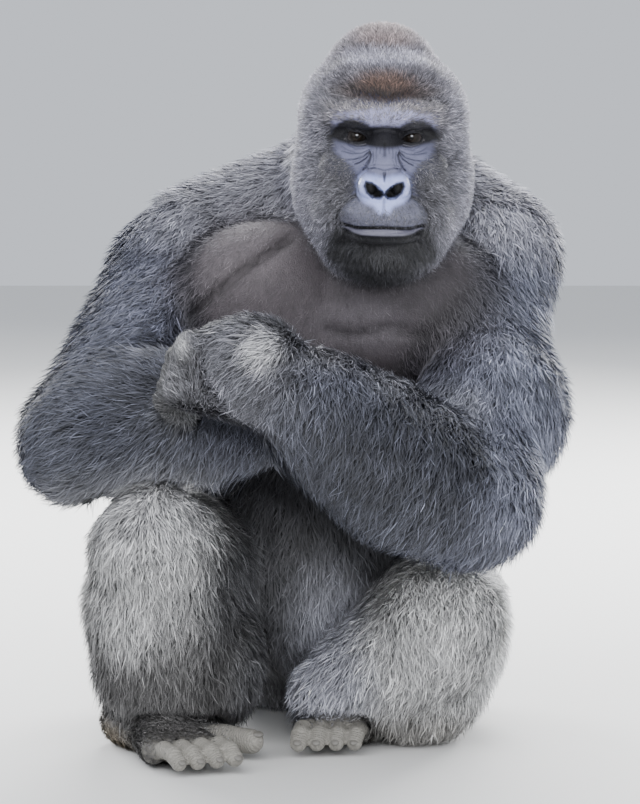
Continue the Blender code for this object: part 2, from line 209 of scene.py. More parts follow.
@dataclass
class Ball:
    """An ellipsoid. Its radii reach to the tips of the coat, and turn is in degrees about X, Y and Z."""

    coat: Coat
    lie: Lie
    centre: Array
    radii: Array
    turn: Triple = (0.0, 0.0, 0.0)
    join: float | None = None
    axes: Array = field(init=False)

    def __post_init__(self) -> None:
        """Works out the axes and the radii of the flesh."""
        self.axes = np.array(Euler([math.radians(a) for a in self.turn]).to_matrix())
        self.radii = np.asarray(self.radii, float) - self.coat.value.depth

    def distance(self, points: Array) -> Array:
        """Returns the distance of each point from the flesh, less than zero inside.

        Args:
            points: Places in the body's frame.

        Returns:
            One distance for each, in metres.
        """
        scaled = (points - self.centre) @ self.axes / self.radii
        size = np.linalg.norm(scaled, axis=1)
        slope = np.maximum(np.linalg.norm(scaled / self.radii, axis=1), 1e-6)
        return size * (size - 1.0) / slope

    def add_to(self, mesh: BMesh) -> None:
        """Adds the ellipsoid to a mesh.

        Args:
            mesh: What takes it in.
        """
        turn = Matrix(self.axes.tolist()).to_quaternion()
        place = Matrix.LocRotScale(Vector(self.centre), turn, Vector(self.radii))
        part = bmesh.new()
        bmesh.ops.create_uvsphere(part, u_segments=32, v_segments=20, radius=1.0, matrix=place)
        pour(part, mesh)

    def box(self) -> tuple[Array, Array]:
        """Returns two corners that hold the mass."""
        reach = float(max(self.radii))
        return self.centre - reach, self.centre + reach

    def moved(self, turn: Array, shift: Array) -> None:
        """Turns the mass about the origin and then shifts it."""
        self.centre = turn @ self.centre + shift
        self.axes = turn @ self.axes


@dataclass
class Limb:
    """A round bar from start to end, whose profile holds (share of the way, radius) pairs."""

    coat: Coat
    lie: Lie
    start: Array
    end: Array
    profile: Profile
    join: float | None = None

    def radius_at(self, share: Array | float) -> Array:
        """Returns the radius of the flesh at a share of the way."""
        shares, radii = zip(*self.profile)
        return np.interp(share, shares, radii) - self.coat.value.depth

    def distance(self, points: Array) -> Array:
        """Returns the distance of each point from the flesh, less than zero inside.

        Args:
            points: Places in the body's frame.

        Returns:
            One distance for each, in metres.
        """
        along = self.end - self.start
        share = np.clip((points - self.start) @ along / (along @ along), 0.0, 1.0)
        nearest = self.start + share[:, None] * along
        return np.linalg.norm(points - nearest, axis=1) - self.radius_at(share)

    def add_to(self, mesh: BMesh) -> None:
        """Adds the bar to a mesh, as cones between balls.

        Args:
            mesh: What takes it in.
        """
        along = Vector(self.end - self.start)
        turn = along.to_track_quat("Z", "Y")
        shares = [share for share, _ in self.profile]
        part = bmesh.new()
        for share in shares:
            centre = Vector(self.start) + along * share
            place = Matrix.Translation(centre)
            size = float(self.radius_at(share))
            bmesh.ops.create_uvsphere(part, u_segments=24, v_segments=16, radius=size, matrix=place)
        for first, second in zip(shares, shares[1:]):
            middle = Vector(self.start) + along * (first + second) / 2
            bmesh.ops.create_cone(
                part,
                cap_ends=True,
                segments=24,
                radius1=float(self.radius_at(first)),
                radius2=float(self.radius_at(second)),
                depth=along.length * (second - first),
                matrix=Matrix.LocRotScale(middle, turn, None),
            )
        pour(part, mesh)

    def box(self) -> tuple[Array, Array]:
        """Returns two corners that hold the mass."""
        reach = max(radius for _, radius in self.profile)
        return np.minimum(self.start, self.end) - reach, np.maximum(self.start, self.end) + reach

    def moved(self, turn: Array, shift: Array) -> None:
        """Turns the mass about the origin and then shifts it."""
        self.start = turn @ self.start + shift
        self.end = turn @ self.end + shift


Mass = Ball | Limb


@dataclass
class Region:
    """A part of the body: masses that run into each other, and how they run into the rest.

    join is the softness inside the region. The region meets what comes before it with the softness soft at
    root, which falls to tight at the distance reach.
    """

    name: str
    masses: list[Mass]
    join: float
    root: Array
    reach: float
    soft: float
    tight: float = 0.004

    def __post_init__(self) -> None:
        """Works out the box round the masses."""
        boxes = [mass.box() for mass in self.masses]
        self.low = np.min([low for low, _ in boxes], axis=0) - REACH
        self.high = np.max([high for _, high in boxes], axis=0) + REACH

    def near(self, points: Array) -> Array:
        """Returns which points are near enough to matter."""
        return np.all((points > self.low) & (points < self.high), axis=1)

    def distance(self, points: Array) -> Array:
        """Returns the distance of each point from the region's surface.

        Args:
            points: Places in the body's frame.

        Returns:
            One distance for each, which is FAR well away from the region.
        """
        out = np.full(len(points), FAR)
        near = self.near(points)
        close = points[near]
        if not len(close):
            return out
        total = self.masses[0].distance(close)
        for mass in self.masses[1:]:
            total = soft_min(total, mass.distance(close), mass.join or self.join)
        out[near] = total
        return out

    def softness(self, points: Array) -> Array:
        """Returns how softly the region meets the others at each point."""
        share = smooth_step(np.linalg.norm(points - self.root, axis=1), 0.25 * self.reach, self.reach)
        return self.soft + (self.tight - self.soft) * share


# ---------- The skeleton, and the masses on it ----------
DOWN = vec(0.0, 0.0, -1.0)


@dataclass
class Trunk:
    """Rump, belly, rib cage, breasts and the slope of the shoulders."""

    hips: Array = field(default_factory=lambda: mm(35, 205, 175))

    def region(self) -> Region:
        """Places the trunk's masses. Hair on the back runs down, and on the shoulders outward.

        Returns:
            The masses as one region.
        """
        down = Lie(vec(0.0, 0.15, -1.0))
        front = Lie(vec(0.0, -0.1, -1.0))
        breast = (0.15, 0.098, 0.118)
        masses: list[Mass] = [
            Ball(Coat.BACK, down, mm(58, 175, 440), mm(262, 240, 260)),
            Ball(Coat.RUMP, down, self.hips, mm(235, 190, 200)),
            Ball(Coat.BELLY, front, mm(25, 70, 290), mm(195, 190, 230)),
            Ball(Coat.BACK, down, mm(45, 215, 310), mm(240, 200, 200)),
            Ball(Coat.BACK, down, mm(72, 205, 575), mm(255, 210, 200)),
            Ball(Coat.CHEST, front, mm(70, 110, 620), mm(268, 188, 178)),
            Ball(Coat.BACK, down, mm(85, 200, 690), mm(232, 185, 172)),
        ]
        for side, centre in ((-1.0, mm(-25, -10, 660)), (1.0, mm(165, -30, 650))):
            out = Lie(vec(0.6 * side, 0.0, -1.0))
            turn = (0.0, -10.0 * side, -12.0 * side)
            masses.append(Ball(Coat.CHEST, out, centre, vec(*breast), turn, 0.02))
        right = Lie(vec(-1.0, -0.1, -0.55))
        left = Lie(vec(1.0, -0.1, -0.55))
        ends = ((0.0, 0.08), (1.0, 0.092))
        masses.append(Limb(Coat.NAPE, right, mm(60, 135, 828), mm(-110, 110, 750), ends))
        ends = ((0.0, 0.076), (1.0, 0.094))
        masses.append(Limb(Coat.NAPE, left, mm(200, 125, 828), mm(305, 80, 733), ends))
        return Region("trunk", masses, 0.034, self.hips, 0.1, 0.01)


@dataclass
class Arm:
    """An arm from its shoulder to its wrist.

    upper and lower are its profiles, and extra its other masses: is it of the upper arm, its centre, its
    radii and its turn. Hair runs to the elbow and by droop on the upper arm, and by fall on the forearm.
    """

    name: str
    shoulder: Array
    elbow: Array
    wrist: Array
    lower: Profile
    extra: tuple[tuple[bool, Array, Array, tuple[float, float, float]], ...]
    droop: Array
    fall: Array
    upper: Profile = ((0.0, 0.11), (0.4, 0.109), (0.75, 0.105), (1.0, 0.11))

    def region(self) -> Region:
        """Places the upper arm, the forearm and what swells them.

        Returns:
            The masses as one region.
        """
        down = Lie(unit(self.elbow - self.shoulder) + self.droop)
        hang = Lie(self.fall)
        masses: list[Mass] = [
            Limb(Coat.UPPER_ARM, down, self.shoulder, self.elbow, self.upper),
            Limb(Coat.FOREARM, hang, self.elbow, self.wrist, self.lower),
        ]
        for upper, centre, radii, turn in self.extra:
            kind, lie = (Coat.UPPER_ARM, down) if upper else (Coat.FOREARM, hang)
            masses.append(Ball(kind, lie, centre, radii, turn))
        return Region(self.name, masses, 0.018, self.shoulder, 0.24, 0.045)


@dataclass
class Leg:
    """A leg from its hip to its ankle, with profiles for thigh and shank and extra balls."""

    name: str
    hip: Array
    knee: Array
    ankle: Array
    thigh: Profile
    shank: Profile
    extra: tuple[tuple[Array, Array], ...]

    def region(self) -> Region:
        """Places thigh and shank. The hair runs down from the knee.

        Returns:
            The masses as one region.
        """
        fall = Lie(vec(0.0, -0.15, -0.8), self.knee + vec(0.0, 0.1, 0.05))
        masses: list[Mass] = [
            Limb(Coat.LEG, fall, self.hip, self.knee, self.thigh),
            Limb(Coat.LEG, fall, self.knee, self.ankle, self.shank),
        ]
        masses += [Ball(Coat.LEG, fall, centre, radii) for centre, radii in self.extra]
        return Region(self.name, masses, 0.02, self.hip, 0.22, 0.045)


@dataclass
class Digit:
    """A finger or toe from its knuckle, with a way and a length for each bone. Its nail is on the back."""

    knuckle: Array
    bends: Sequence[Array]
    lengths: Sequence[float]
    radius: float
    back: Array
    taper: float = 0.07

    def masses(self, coat: Coat) -> list[Mass]:
        """Returns its bones as bars.

        Args:
            coat: The kind of coat on it.

        Returns:
            The bones, from the knuckle on.
        """
        lie = Lie(self.bends[0])
        here, made = self.knuckle, []
        for step, (way, length) in enumerate(zip(self.bends, self.lengths)):
            there = here + unit(way) * length
            ends = (1.0 - self.taper * step, 1.0 - self.taper * (step + 1))
            profile = tuple((float(k), self.radius * end) for k, end in enumerate(ends))
            made.append(Limb(coat, lie, here, there, profile, 0.004))
            here = there
        return made

    def tip(self) -> tuple[Array, Array, float]:
        """Returns the middle of its last ball, the way it points and its radius there."""
        last = self.masses(Coat.TOE)[-1]
        return last.end, unit(self.bends[-1]), self.radius * (1.0 - self.taper * len(self.bends))


@dataclass
class Hand:
    """A hand: its palm, four fingers in a row along the knuckles, and a thumb."""

    name: str
    wrist: Array
    palm_at: Array
    palm: Array
    knuckles: Array
    row: tuple[Array, Array]
    spread: float
    palm_radii: tuple[float, float]
    bends: tuple[Array, ...]
    lengths: tuple[float, ...]
    finger: float
    back: Array
    thumb: Digit

    def digits(self) -> list[Digit]:
        """Sets the fingers in a row along the knuckles.

        Returns:
            The four fingers and the thumb.
        """
        made = []
        for share in np.linspace(0.0, 1.0, 4):
            drop = self.row[0] * (1.0 - share) + self.row[1] * share
            made.append(Digit(self.knuckles + drop, self.bends, self.lengths, self.finger, self.back))
        return [*made, self.thumb]

    def region(self) -> Region:
        """Places the palm, the back of the hand, and the digits.

        Returns:
            The masses as one region.
        """
        over = Lie(unit(self.knuckles - self.wrist) + vec(0.0, 0.0, -0.5))
        masses: list[Mass] = [Ball(Coat.HAND, over, self.palm_at, self.palm)]
        first, last = self.palm_radii
        for digit in self.digits()[:4]:
            drop = (digit.knuckle - self.knuckles) * self.spread
            ends = ((0.0, first), (1.0, last))
            masses.append(Limb(Coat.HAND, over, self.wrist + drop, digit.knuckle, ends))
        for digit in self.digits():
            masses += digit.masses(Coat.FINGER)
        return Region(self.name, masses, 0.009, self.wrist, 0.1, 0.02)


@dataclass
class Foot:
    """A foot flat on the floor, from heel to toes. side is -1 for the right foot and 1 for the left one."""

    name: str
    heel: Array
    toes: Array
    side: float
    apart: float = 0.03

    def ways(self) -> tuple[Array, Array]:
        """Finds the ways of the foot.

        Returns:
            The way ahead, and the way inward, square to it.
        """
        ahead = unit(self.toes - self.heel)
        inward = vec(-self.side, 0.0, 0.0)
        return ahead, unit(inward - ahead * (inward @ ahead))

    def along(self, share: float) -> Array:
        """Returns the point at a share of the way from heel to toes."""
        return self.heel * (1.0 - share) + self.toes * share

    def digits(self) -> list[Digit]:
        """Sets the toes along the front of the foot.

        Returns:
            The great toe and the four others, little toe last.
        """
        ahead, inward = self.ways()
        up = vec(0.0, 0.0, 1.0)
        root = self.along(0.42) + inward * self.apart + up * 0.028
        bends = (inward * 0.62 + ahead * 0.78, inward * 0.45 + ahead * 0.85)
        made = [Digit(root, bends, (0.055, 0.045), 0.0225, up)]
        for share in (0.0, 0.33, 0.67, 1.0):
            across = inward * (0.034 - 0.08 * share)
            root = self.along(0.68) + across + up * 0.024 - ahead * 0.018 * share
            bends = (ahead + up * 0.3, ahead - up * 0.1, ahead - up * 0.62)
            lengths = (0.036 - 0.006 * share, 0.026, 0.018)
            made.append(Digit(root, bends, lengths, 0.015 - 0.0012 * share, up, 0.03))
        return made

    def region(self) -> Region:
        """Places the heel, the instep out to each toe, and the toes.

        Returns:
            The masses as one region.
        """
        ahead, inward = self.ways()
        up = vec(0.0, 0.0, 1.0)
        lie = Lie(ahead)
        instep = self.along(0.38) + inward * 0.01 + up * 0.03
        heel = self.heel + up * 0.034
        masses: list[Mass] = [Limb(Coat.INSTEP, lie, heel, instep, ((0.0, 0.036), (1.0, 0.04)))]
        for place, digit in enumerate(self.digits()):
            begin, radii = instep, (0.034, 0.028)
            if place:
                share = (place - 1) / 3.0
                begin, radii = instep + inward * (0.012 - 0.03 * share), (0.034, 0.023)
            ends = ((0.0, radii[0]), (1.0, radii[1]))
            masses.append(Limb(Coat.INSTEP, lie, begin, digit.knuckle, ends))
            masses += digit.masses(Coat.TOE)
        return Region(self.name, masses, 0.005, heel, 0.1, 0.014)


def off_line(here: Array, steps: Iterable[tuple[Sequence[float], Sequence[float]]]) -> Array:
    """Returns how far each point is from the nearest of some straight lines.

    Args:
        here: Points of the front, as rows of x and z.
        steps: The two ends of each line.

    Returns:
        One distance for each point.
    """
    near = np.full(len(here), FAR)
    for first, second in steps:
        start, along = vec(*first), vec(*second) - vec(*first)
        share = np.clip((here - start) @ along / (along @ along), 0.0, 1.0)
        near = np.minimum(near, np.linalg.norm(here - start - share[:, None] * along, axis=1))
    return near


@dataclass(frozen=True)
class Groove:
    """A furrow in the face: a line of (x, z) points on one half of it, with a depth and a width."""

    line: Profile
    depth: float
    width: float

    def cut(self, across: Array, height: Array) -> Array:
        """Returns how deep the furrow is at each point of the half face."""
        near = off_line(np.stack([across, height], axis=1), zip(self.line, self.line[1:]))
        return self.depth * np.exp(-((near / self.width) ** 2))


def furrows(rows: Sequence[Sequence[float]]) -> tuple[Groove, ...]:
    """Makes a furrow of each row of millimetres: its depth, its width, and then x and z of its points."""
    return tuple(Groove(millimetres(*row[2:]), *millimetres(*row[:2])[0]) for row in rows)


@dataclass(frozen=True)
class Window:
    """A box in the head's frame, alike on both halves, by its limits across, up and ahead."""

    outer: float
    low: float
    high: float
    back: float = -0.095
    inner: float = -FAR
    front: float = -FAR

    def holds(self, half: Array) -> Array:
        """Returns which points are in the box, where x is given as a distance."""
        low, high = (self.inner, self.front, self.low), (self.outer, self.back, self.high)
        return np.all((half > low) & (half < high), axis=1)


WORKED = Window(0.16, -0.2, 0.2, back=0.09)  # where the head is sculpted
EAR_WINDOW = Window(FAR, -0.045, 0.045, back=0.075, inner=0.105, front=0.015)


@dataclass
class Head:
    """The head and neck. Its masses are given in the head's own frame, from the middle between the ears."""

    at: Array = field(default_factory=lambda: mm(134.5, -70, 890))
    roll: float = math.radians(1.0)
    eye: Array = field(default_factory=lambda: mm(39.5, -120.5, 25.5))
    eye_radius: float = 0.0145
    lid: float = 0.0022
    opening: Triple = (0.0152, 0.0072, 0.0056)  # half its width, height above and below
    inset: float = 0.003  # how far ahead of the eye's middle the opening ends
    lift: float = 0.1  # slope of the lids, up to the outer corner
    nostril: float = 0.008  # depth of a nostril
    worn: float = 0.35  # share of its bareness that the muzzle loses
    face: Array = field(default_factory=lambda: mm(0, -170, 35))  # hair runs away from here
    outline: Profile = millimetres(
        -114.5, 20, -112.5, 46, -102, 60, -85, 60, -70, 52, -56, 42, -30, 40, -14, 48,
        6, 74, 45, 76, 60, 68, 68, 40, 76, -20,
    )  # half the width of the bare face, at heights from below the lip to the brow
    grooves: tuple[Groove, ...] = furrows((
        (1.1, 0.9, 53, 18, 40, 12.8, 27, 15),  # under the lid
        (0.8, 0.8, 50, 12.5, 41, 8.8, 29, 11),
        (0.7, 0.9, 62, 12, 54, 7, 43, 4.5),
        (1.2, 0.9, 21.6, 9.5, 33, 4, 47, 2.2, 61, 5),
        (0.7, 0.8, 21.2, 8, 29, 1.6, 37, -1),
        (1.6, 1, 20.8, 7.2, 30, -1, 44, -5.8, 59, -7.2),
        (0.7, 0.8, 34, -5.2, 46, -10.5),
        (1.9, 1.1, 20.4, 6, 26.2, -3, 36, -10, 42, -12.5),
        (0.9, 0.8, 19.6, 5, 22.8, -4.8, 26.2, -10),
        (1.8, 1.2, 18.8, 4, 21.2, -5, 26.2, -15, 30, -20),
        (1, 0.9, 16.6, 8, 15.8, -1, 17.2, -8),
        (0.6, 0.8, 12, -3, 15, -11, 20.5, -16.5),
        (0.7, 0.8, 30, -11.8, 21.5, -15.8, 12, -13),
        (1.4, 2.4, 0, 20, 0.4, 4),  # between the ridges of the bridge
        (1, 1, 6, 17, 6.8, 7),
        (1, 0.9, 11, 16.5, 12.2, 6, 11.8, 0),
        (1.1, 1.1, 27, -17.5, 14.3, -14, 0, -16.5),  # over the nose pad
        (0.7, 1, 20, -11, 10, -8.5, 0, -9.5),
        (2, 1.2, 1.2, -20, 0, -31),  # notch of the nose pad
        (0.6, 2, 30, -18, 38.5, -30, 40.5, -43),
        (1.4, 1.5, 40.8, -46, 40, -54, 35, -61),
        (1.2, 2, 0, -56, 0, -84),  # philtrum
        (2.6, 2.6, 42, -56, 57, -66, 68, -83, 67.5, -96),
        (4.5, 2.2, 0, -98, 15, -99, 38, -100.5, 60, -98.5),
        (3, 3, 0, -113, 30, -113, 54, -108),  # under the lower lip
        (1.6, 1.4, 25, 34.5, 39.5, 40, 54, 33),  # over the upper lid
    ))

    def turn(self) -> Array:
        """Returns the matrix from the head's frame to that of the body."""
        return np.array(Euler((0.0, self.roll, 0.0)).to_matrix())

    def local(self, points: Array) -> Array:
        """Returns points of the body in the head's frame."""
        return (points - self.at) @ self.turn()

    def placed(self, points: Array) -> Array:
        """Returns points of the head's frame in the body's."""
        return points @ self.turn().T + self.at

    def region(self) -> Region:
        """Places the head and the neck. Hair runs away from the face, and back over the crown.

        Returns:
            The masses as one region.
        """
        out = Lie(vec(0.0, 0.25, 0.0), self.face)
        back = Lie(vec(0.0, 0.8, 0.15), self.face)
        nape = Lie(vec(0.0, 0.3, -1.0))
        masses: list[Mass] = [
            Ball(Coat.CROWN, back, mm(0, 25, 50), mm(112, 140, 108)),
            Ball(Coat.CROWN, back, mm(-3, 28, 98), mm(89, 128, 87), join=0.01),
            Ball(Coat.FOREHEAD, out, mm(0, -52, 92), mm(92, 90, 55), join=0.008),
        ]
        for side in (-1.0, 1.0):
            masses += [
                Ball(Coat.CHEEK, out, mm(58 * side, 0, 42), mm(70, 110, 90)),
                Ball(Coat.CHEEK, out, mm(70 * side, -10, -45), mm(66, 105, 106)),
                Ball(Coat.CHEEK, out, mm(40 * side, -45, -115), mm(63, 85, 76)),
                Ball(Coat.CHEEK, out, mm(80 * side, -66, 52), mm(38, 56, 44), join=0.02),
            ]
        masses += [
            Ball(Coat.CHIN, out, mm(0, -60, -145), mm(70, 80, 55)),
            Limb(Coat.NAPE, nape, mm(5, 60, 0), mm(-15, 200, -110), ((0, 0.124), (1, 0.164))),
            Limb(Coat.NAPE, nape, mm(5, 0, -80), mm(-10, 100, -180), ((0, 0.1), (1, 0.118))),
        ]
        masses += self.face_masses(out)
        for mass in masses:
            mass.moved(self.turn(), self.at)
            if mass.lie.source is not None:
                mass.lie = Lie(self.turn() @ mass.lie.way, self.placed(self.face[None])[0])
        return Region("head", masses, 0.016, self.at + vec(0.0, 0.12, -0.12), 0.22, 0.05)

    def face_masses(self, out: Lie) -> list[Mass]:
        """Returns brow, sockets, cheek bones, nose and muzzle.

        Args:
            out: Lie of the face's hair.

        Returns:
            Masses in the head's frame.
        """
        bridge = ((0.0, 0.018), (1.0, 0.025))
        bar = ((0.0, 0.022), (1.0, 0.022))
        brow = ((0.0, 0.022), (1.0, 0.02))
        masses: list[Mass] = [
            Ball(Coat.FACE, out, mm(0, -78, 10), mm(78, 52, 55), join=0.01),
            Limb(Coat.BROW, out, mm(-30, -141, 61), mm(30, -141, 61), bar, 0.018),
            Ball(Coat.FACE, out, mm(0, -125, -78), mm(63, 78, 52), join=0.012),
            Ball(Coat.FACE, out, mm(0, -150, -79), mm(61, 55, 23), join=0.006),
            Ball(Coat.FACE, out, mm(0, -146, -111), mm(55, 50, 15), join=0.004),
            Ball(Coat.CHIN, out, mm(0, -108, -138), mm(56, 62, 44), join=0.012),
            Limb(Coat.FACE, out, mm(0, -128, 30), mm(0, -164, -16), bridge, 0.008),
            Ball(Coat.FACE, out, mm(0, -185, -38), mm(16, 19, 18), join=0.008),
            Ball(Coat.FACE, out, mm(0, -176, -56), mm(28, 24, 12), join=0.008),
        ]
        for side in (-1.0, 1.0):
            inner = mm(30 * side, -141, 61)
            masses += [
                Limb(Coat.BROW, out, inner, inner + mm(35 * side, 24, -3), brow, 0.018),
                Ball(Coat.FACE, out, mm(50 * side, -100, -20), mm(41, 40, 34), join=0.01),
                Ball(Coat.FACE, out, mm(22 * side, -118, -10), mm(28, 34, 36), join=0.01),
                Ball(Coat.CHEEK, out, mm(60 * side, -96, -78), mm(44, 62, 60), join=0.022),
                Ball(Coat.FACE, out, mm(19.5 * side, -178, -40), mm(19, 26, 22), join=0.004),
                Ball(
                    Coat.EAR, out, mm(112 * side, 56, 6), mm(11, 20, 30),
                    (0, 8 * side, -25 * side), 0.004,
                ),
            ]
        return masses

    def sculpt(self, points: Array, distance: Array) -> Array:
        """Opens the eyes and nostrils, hollows the ears and cuts the furrows of the face.

        Args:
            points: Points in the body's frame.
            distance: Their distances from the flesh before.

        Returns:
            Their distances from the sculpted flesh.
        """
        here = self.local(points)
        near = WORKED.holds(np.column_stack([np.abs(here[:, 0]), here[:, 1:]]))
        out = distance.copy()
        out[near] = self.sculpt_near(here[near], distance[near])
        return out

    def sculpt_near(self, here: Array, distance: Array) -> Array:
        """Does the work of sculpt for points in the head's frame.

        Args:
            here: The points.
            distance: Their distances from the flesh before.

        Returns:
            Their distances after.
        """
        half = np.column_stack([np.abs(here[:, 0]), here[:, 1:]])
        across, deep, height = half.T
        front = smooth_step(-deep, 0.095, 0.115)
        distance = distance + self.furrow(across, height) * front
        shell = np.linalg.norm(half - self.eye, axis=1) - self.eye_radius - self.lid
        distance = soft_min(distance, shell, 0.005)
        distance = soft_max(distance, -self.slit(half), 0.0012)
        distance = distance + NOSTRIL.weight(across, height) * self.nostril * front
        concha = Ball(Coat.EAR, Lie(DOWN), mm(122, 48, 8), mm(8.5, 11, 19), (0, 8, -25))
        return soft_max(distance, -concha.distance(half), 0.003)

    def slit(self, half: Array) -> Array:
        """Returns how far points are outside the opening between the lids, less than zero in it.

        Args:
            half: Points in the head's frame, with x as a distance.

        Returns:
            One distance for each, in metres.
        """
        across, deep, height = half.T
        wide, above, below = self.opening
        share = (across - self.eye[0]) / wide
        middle = self.eye[2] + self.lift * (across - self.eye[0])
        arch = 1.0 - share * share
        gap = np.maximum(height - middle - above * arch, middle - below * arch - height)
        return np.maximum(gap, deep - (self.eye[1] - self.inset))

    def furrow(self, across: Array, height: Array) -> Array:
        """Returns how deep the furrows are at each point of the half face."""
        return sum(groove.cut(across, height) for groove in self.grooves)

    def bare(self, here: Array) -> Array:
        """Returns how bare the face is at points of the head's frame, from 0 to 1.

        Args:
            here: The points.

        Returns:
            One share for each.
        """
        heights, widths = zip(*self.outline)
        across, deep, height = np.column_stack([np.abs(here[:, 0]), here[:, 1:]]).T
        room = np.interp(height, heights, widths, left=-0.02, right=-0.02) - across
        bare = smooth_step(room, -0.01, 0.009) * smooth_step(-deep, 0.07, 0.09)
        return bare * (1.0 - self.worn * MUZZLE.weight(across, height))


FOLDS = furrows((  # of the chest, in the body's frame
    (10, 6.5, -3, 753.5, -60, 720, -115, 675, -168, 626),
    (6, 8, 55, 623, 90, 618, 141, 632, 194, 620),
))


# ---------- The whole flesh ----------
@dataclass
class Flesh:
    """All masses of the body, as one field of distances."""

    head: Head = field(default_factory=Head)
    wrist_r: Array = field(default_factory=lambda: mm(20, -175, 486))
    wrist_l: Array = field(default_factory=lambda: mm(-44, -350, 596))
    hands: list[Hand] = field(init=False)
    feet: list[Foot] = field(init=False)
    regions: list[Region] = field(init=False)

    def __post_init__(self) -> None:
        """Puts the skeleton together. Trunk and head come first, and each part joins those before it."""
        self.hands = self.made_hands()
        self.feet = [
            Foot("foot_r", mm(-250, -95, 0), mm(-105, -318, 0), -1.0, 0.046),
            Foot("foot_l", mm(85, 60, 0), mm(42, -205, 0), 1.0, -0.028),
        ]
        parts = Trunk(), self.head, *self.made_arms(), *self.made_legs(), *self.hands, *self.feet
        self.regions = [part.region() for part in parts]

    def made_arms(self) -> tuple[Arm, Arm]:
        """Places the arms, with their elbows on the knees.

        Returns:
            The right arm and the left one.
        """
        straight = (0.0, 0.0, 0.0)
        shoulder_r = mm(-160, 90, 704)
        shoulder_l = mm(292, 60, 700)
        arm_r = Arm(
            "arm_r", shoulder_r, mm(-290, -170, 484), self.wrist_r,
            ((0.0, 0.108), (0.25, 0.102), (0.5, 0.092), (0.8, 0.068), (1.0, 0.056)),
            (
                (True, shoulder_r + mm(-10, -10, -5), mm(112, 112, 118), straight),
                (False, mm(-205, -165, 522), mm(128, 105, 108), straight),
                (False, mm(-300, -160, 462), mm(106, 95, 106), straight),
            ),
            vec(-0.25, 0.0, -0.1), vec(-0.9, -0.4, -0.35),
        )
        arm_l = Arm(
            "arm_l", shoulder_l, mm(260, -235, 397), self.wrist_l,
            ((0.0, 0.11), (0.25, 0.124), (0.6, 0.118), (0.85, 0.098), (1.0, 0.084)),
            (
                (True, shoulder_l + mm(8, -10, 6), mm(112, 112, 116), straight),
                (True, mm(304, -110, 510), mm(114, 112, 140), straight),
                (False, mm(160, -270, 448), mm(165, 108, 122), (0.0, 32.0, 0.0)),
            ),
            vec(0.0, 0.1, -0.3), vec(-0.5, -0.15, -0.85),
        )
        return arm_r, arm_l

    @staticmethod
    def made_legs() -> tuple[Leg, Leg]:
        """Places the legs.

        Returns:
            The right leg, whose shank stands, and the left one, whose shank lies.
        """
        leg_r = Leg(
            "leg_r", mm(-75, 185, 185), mm(-192, -170, 305), mm(-188, -115, 110),
            ((0.0, 0.138), (0.45, 0.136), (0.8, 0.118), (1.0, 0.105)),
            ((0.0, 0.106), (0.4, 0.121), (0.75, 0.116), (1.0, 0.104)),
            (
                (mm(-180, -110, 120), mm(124, 110, 92)),
                (mm(-190, -90, 215), mm(128, 125, 125)),
                (mm(-200, -205, 335), mm(100, 88, 100)),
                (mm(-100, -90, 130), mm(72, 100, 110)),
            ),
        )
        leg_l = Leg(
            "leg_l", mm(160, 170, 180), mm(214, -130, 180), mm(52, -90, 82),
            ((0.0, 0.14), (0.45, 0.135), (0.8, 0.115), (1.0, 0.1)),
            ((0.0, 0.102), (0.4, 0.098), (0.75, 0.086), (1.0, 0.074)),
            (
                (mm(180, -70, 110), mm(130, 110, 125)),
                (mm(245, 30, 160), mm(92, 130, 138)),
                (mm(222, -160, 215), mm(98, 90, 88)),
            ),
        )
        return leg_r, leg_l

    def made_hands(self) -> list[Hand]:
        """Places the hands at the wrists.

        Returns:
            The right hand, closed behind the left wrist, and the left one, bent over it.
        """
        wrist_r, wrist_l = self.wrist_r, self.wrist_l
        thumb_r = Digit(
            wrist_r + mm(30, 10, 40), (vec(0.8, 0.2, 0.5), vec(0.9, 0.2, 0.1)),
            (0.04, 0.03), 0.016, vec(0.0, -0.6, 0.8),
        )
        hand_r = Hand(
            "hand_r", wrist_r, wrist_r, mm(56, 50, 56),
            wrist_r + mm(85, 10, -15), (mm(0, 0, 36), mm(-10, 0, -36)), 0.7,
            (0.032, 0.025), (vec(0.95, 0.2, -0.15), vec(0.7, 0.65, -0.2), vec(0.3, 0.9, -0.2)),
            (0.045, 0.032, 0.024), 0.016, vec(0.4, -0.9, 0.0), thumb_r,
        )
        thumb_l = Digit(
            wrist_l + mm(-30, 20, 45), (vec(-0.8, 0.5, 0.1), vec(-0.6, 0.8, -0.2)),
            (0.036, 0.022), 0.0175, vec(0.0, -0.3, 1.0),
        )
        hand_l = Hand(
            "hand_l", wrist_l, wrist_l + mm(-12, 0, 4), mm(84, 66, 80),
            mm(-148, -330, 596), (mm(10, -6, 30), mm(-8, 6, -32)), 0.8,
            (0.054, 0.032), (vec(-0.45, 0.8, -0.35), vec(0.25, 0.9, -0.5), vec(0.8, 0.35, -0.4)),
            (0.052, 0.036, 0.026), 0.0185, vec(-0.8, -0.2, -0.6), thumb_l,
        )
        return [hand_r, hand_l]

    def toes(self) -> list[list[Mass]]:
        """Returns the bones of each toe."""
        return [digit.masses(Coat.TOE) for foot in self.feet for digit in foot.digits()]

    def distance(self, points: Array) -> Array:
        """Returns the distance of each point from the skin, less than zero inside.

        Args:
            points: Places in the body's frame.

        Returns:
            One distance for each, in metres.
        """
        total = np.full(len(points), FAR)
        for region in self.regions:
            total = soft_min(total, region.distance(points), region.softness(points))
        total = self.head.sculpt(points, total)
        chest = self.chest(points)
        total[chest] += self.fold(points[chest])
        return np.maximum(total, SOLE - points[:, 2])

    @staticmethod
    def chest(points: Array) -> Array:
        """Returns which points are where the folds of the chest run."""
        deep, height = points[:, 1], points[:, 2]
        return (height > 0.56) & (height < 0.8) & (deep < 0.05) & (deep > -0.24)

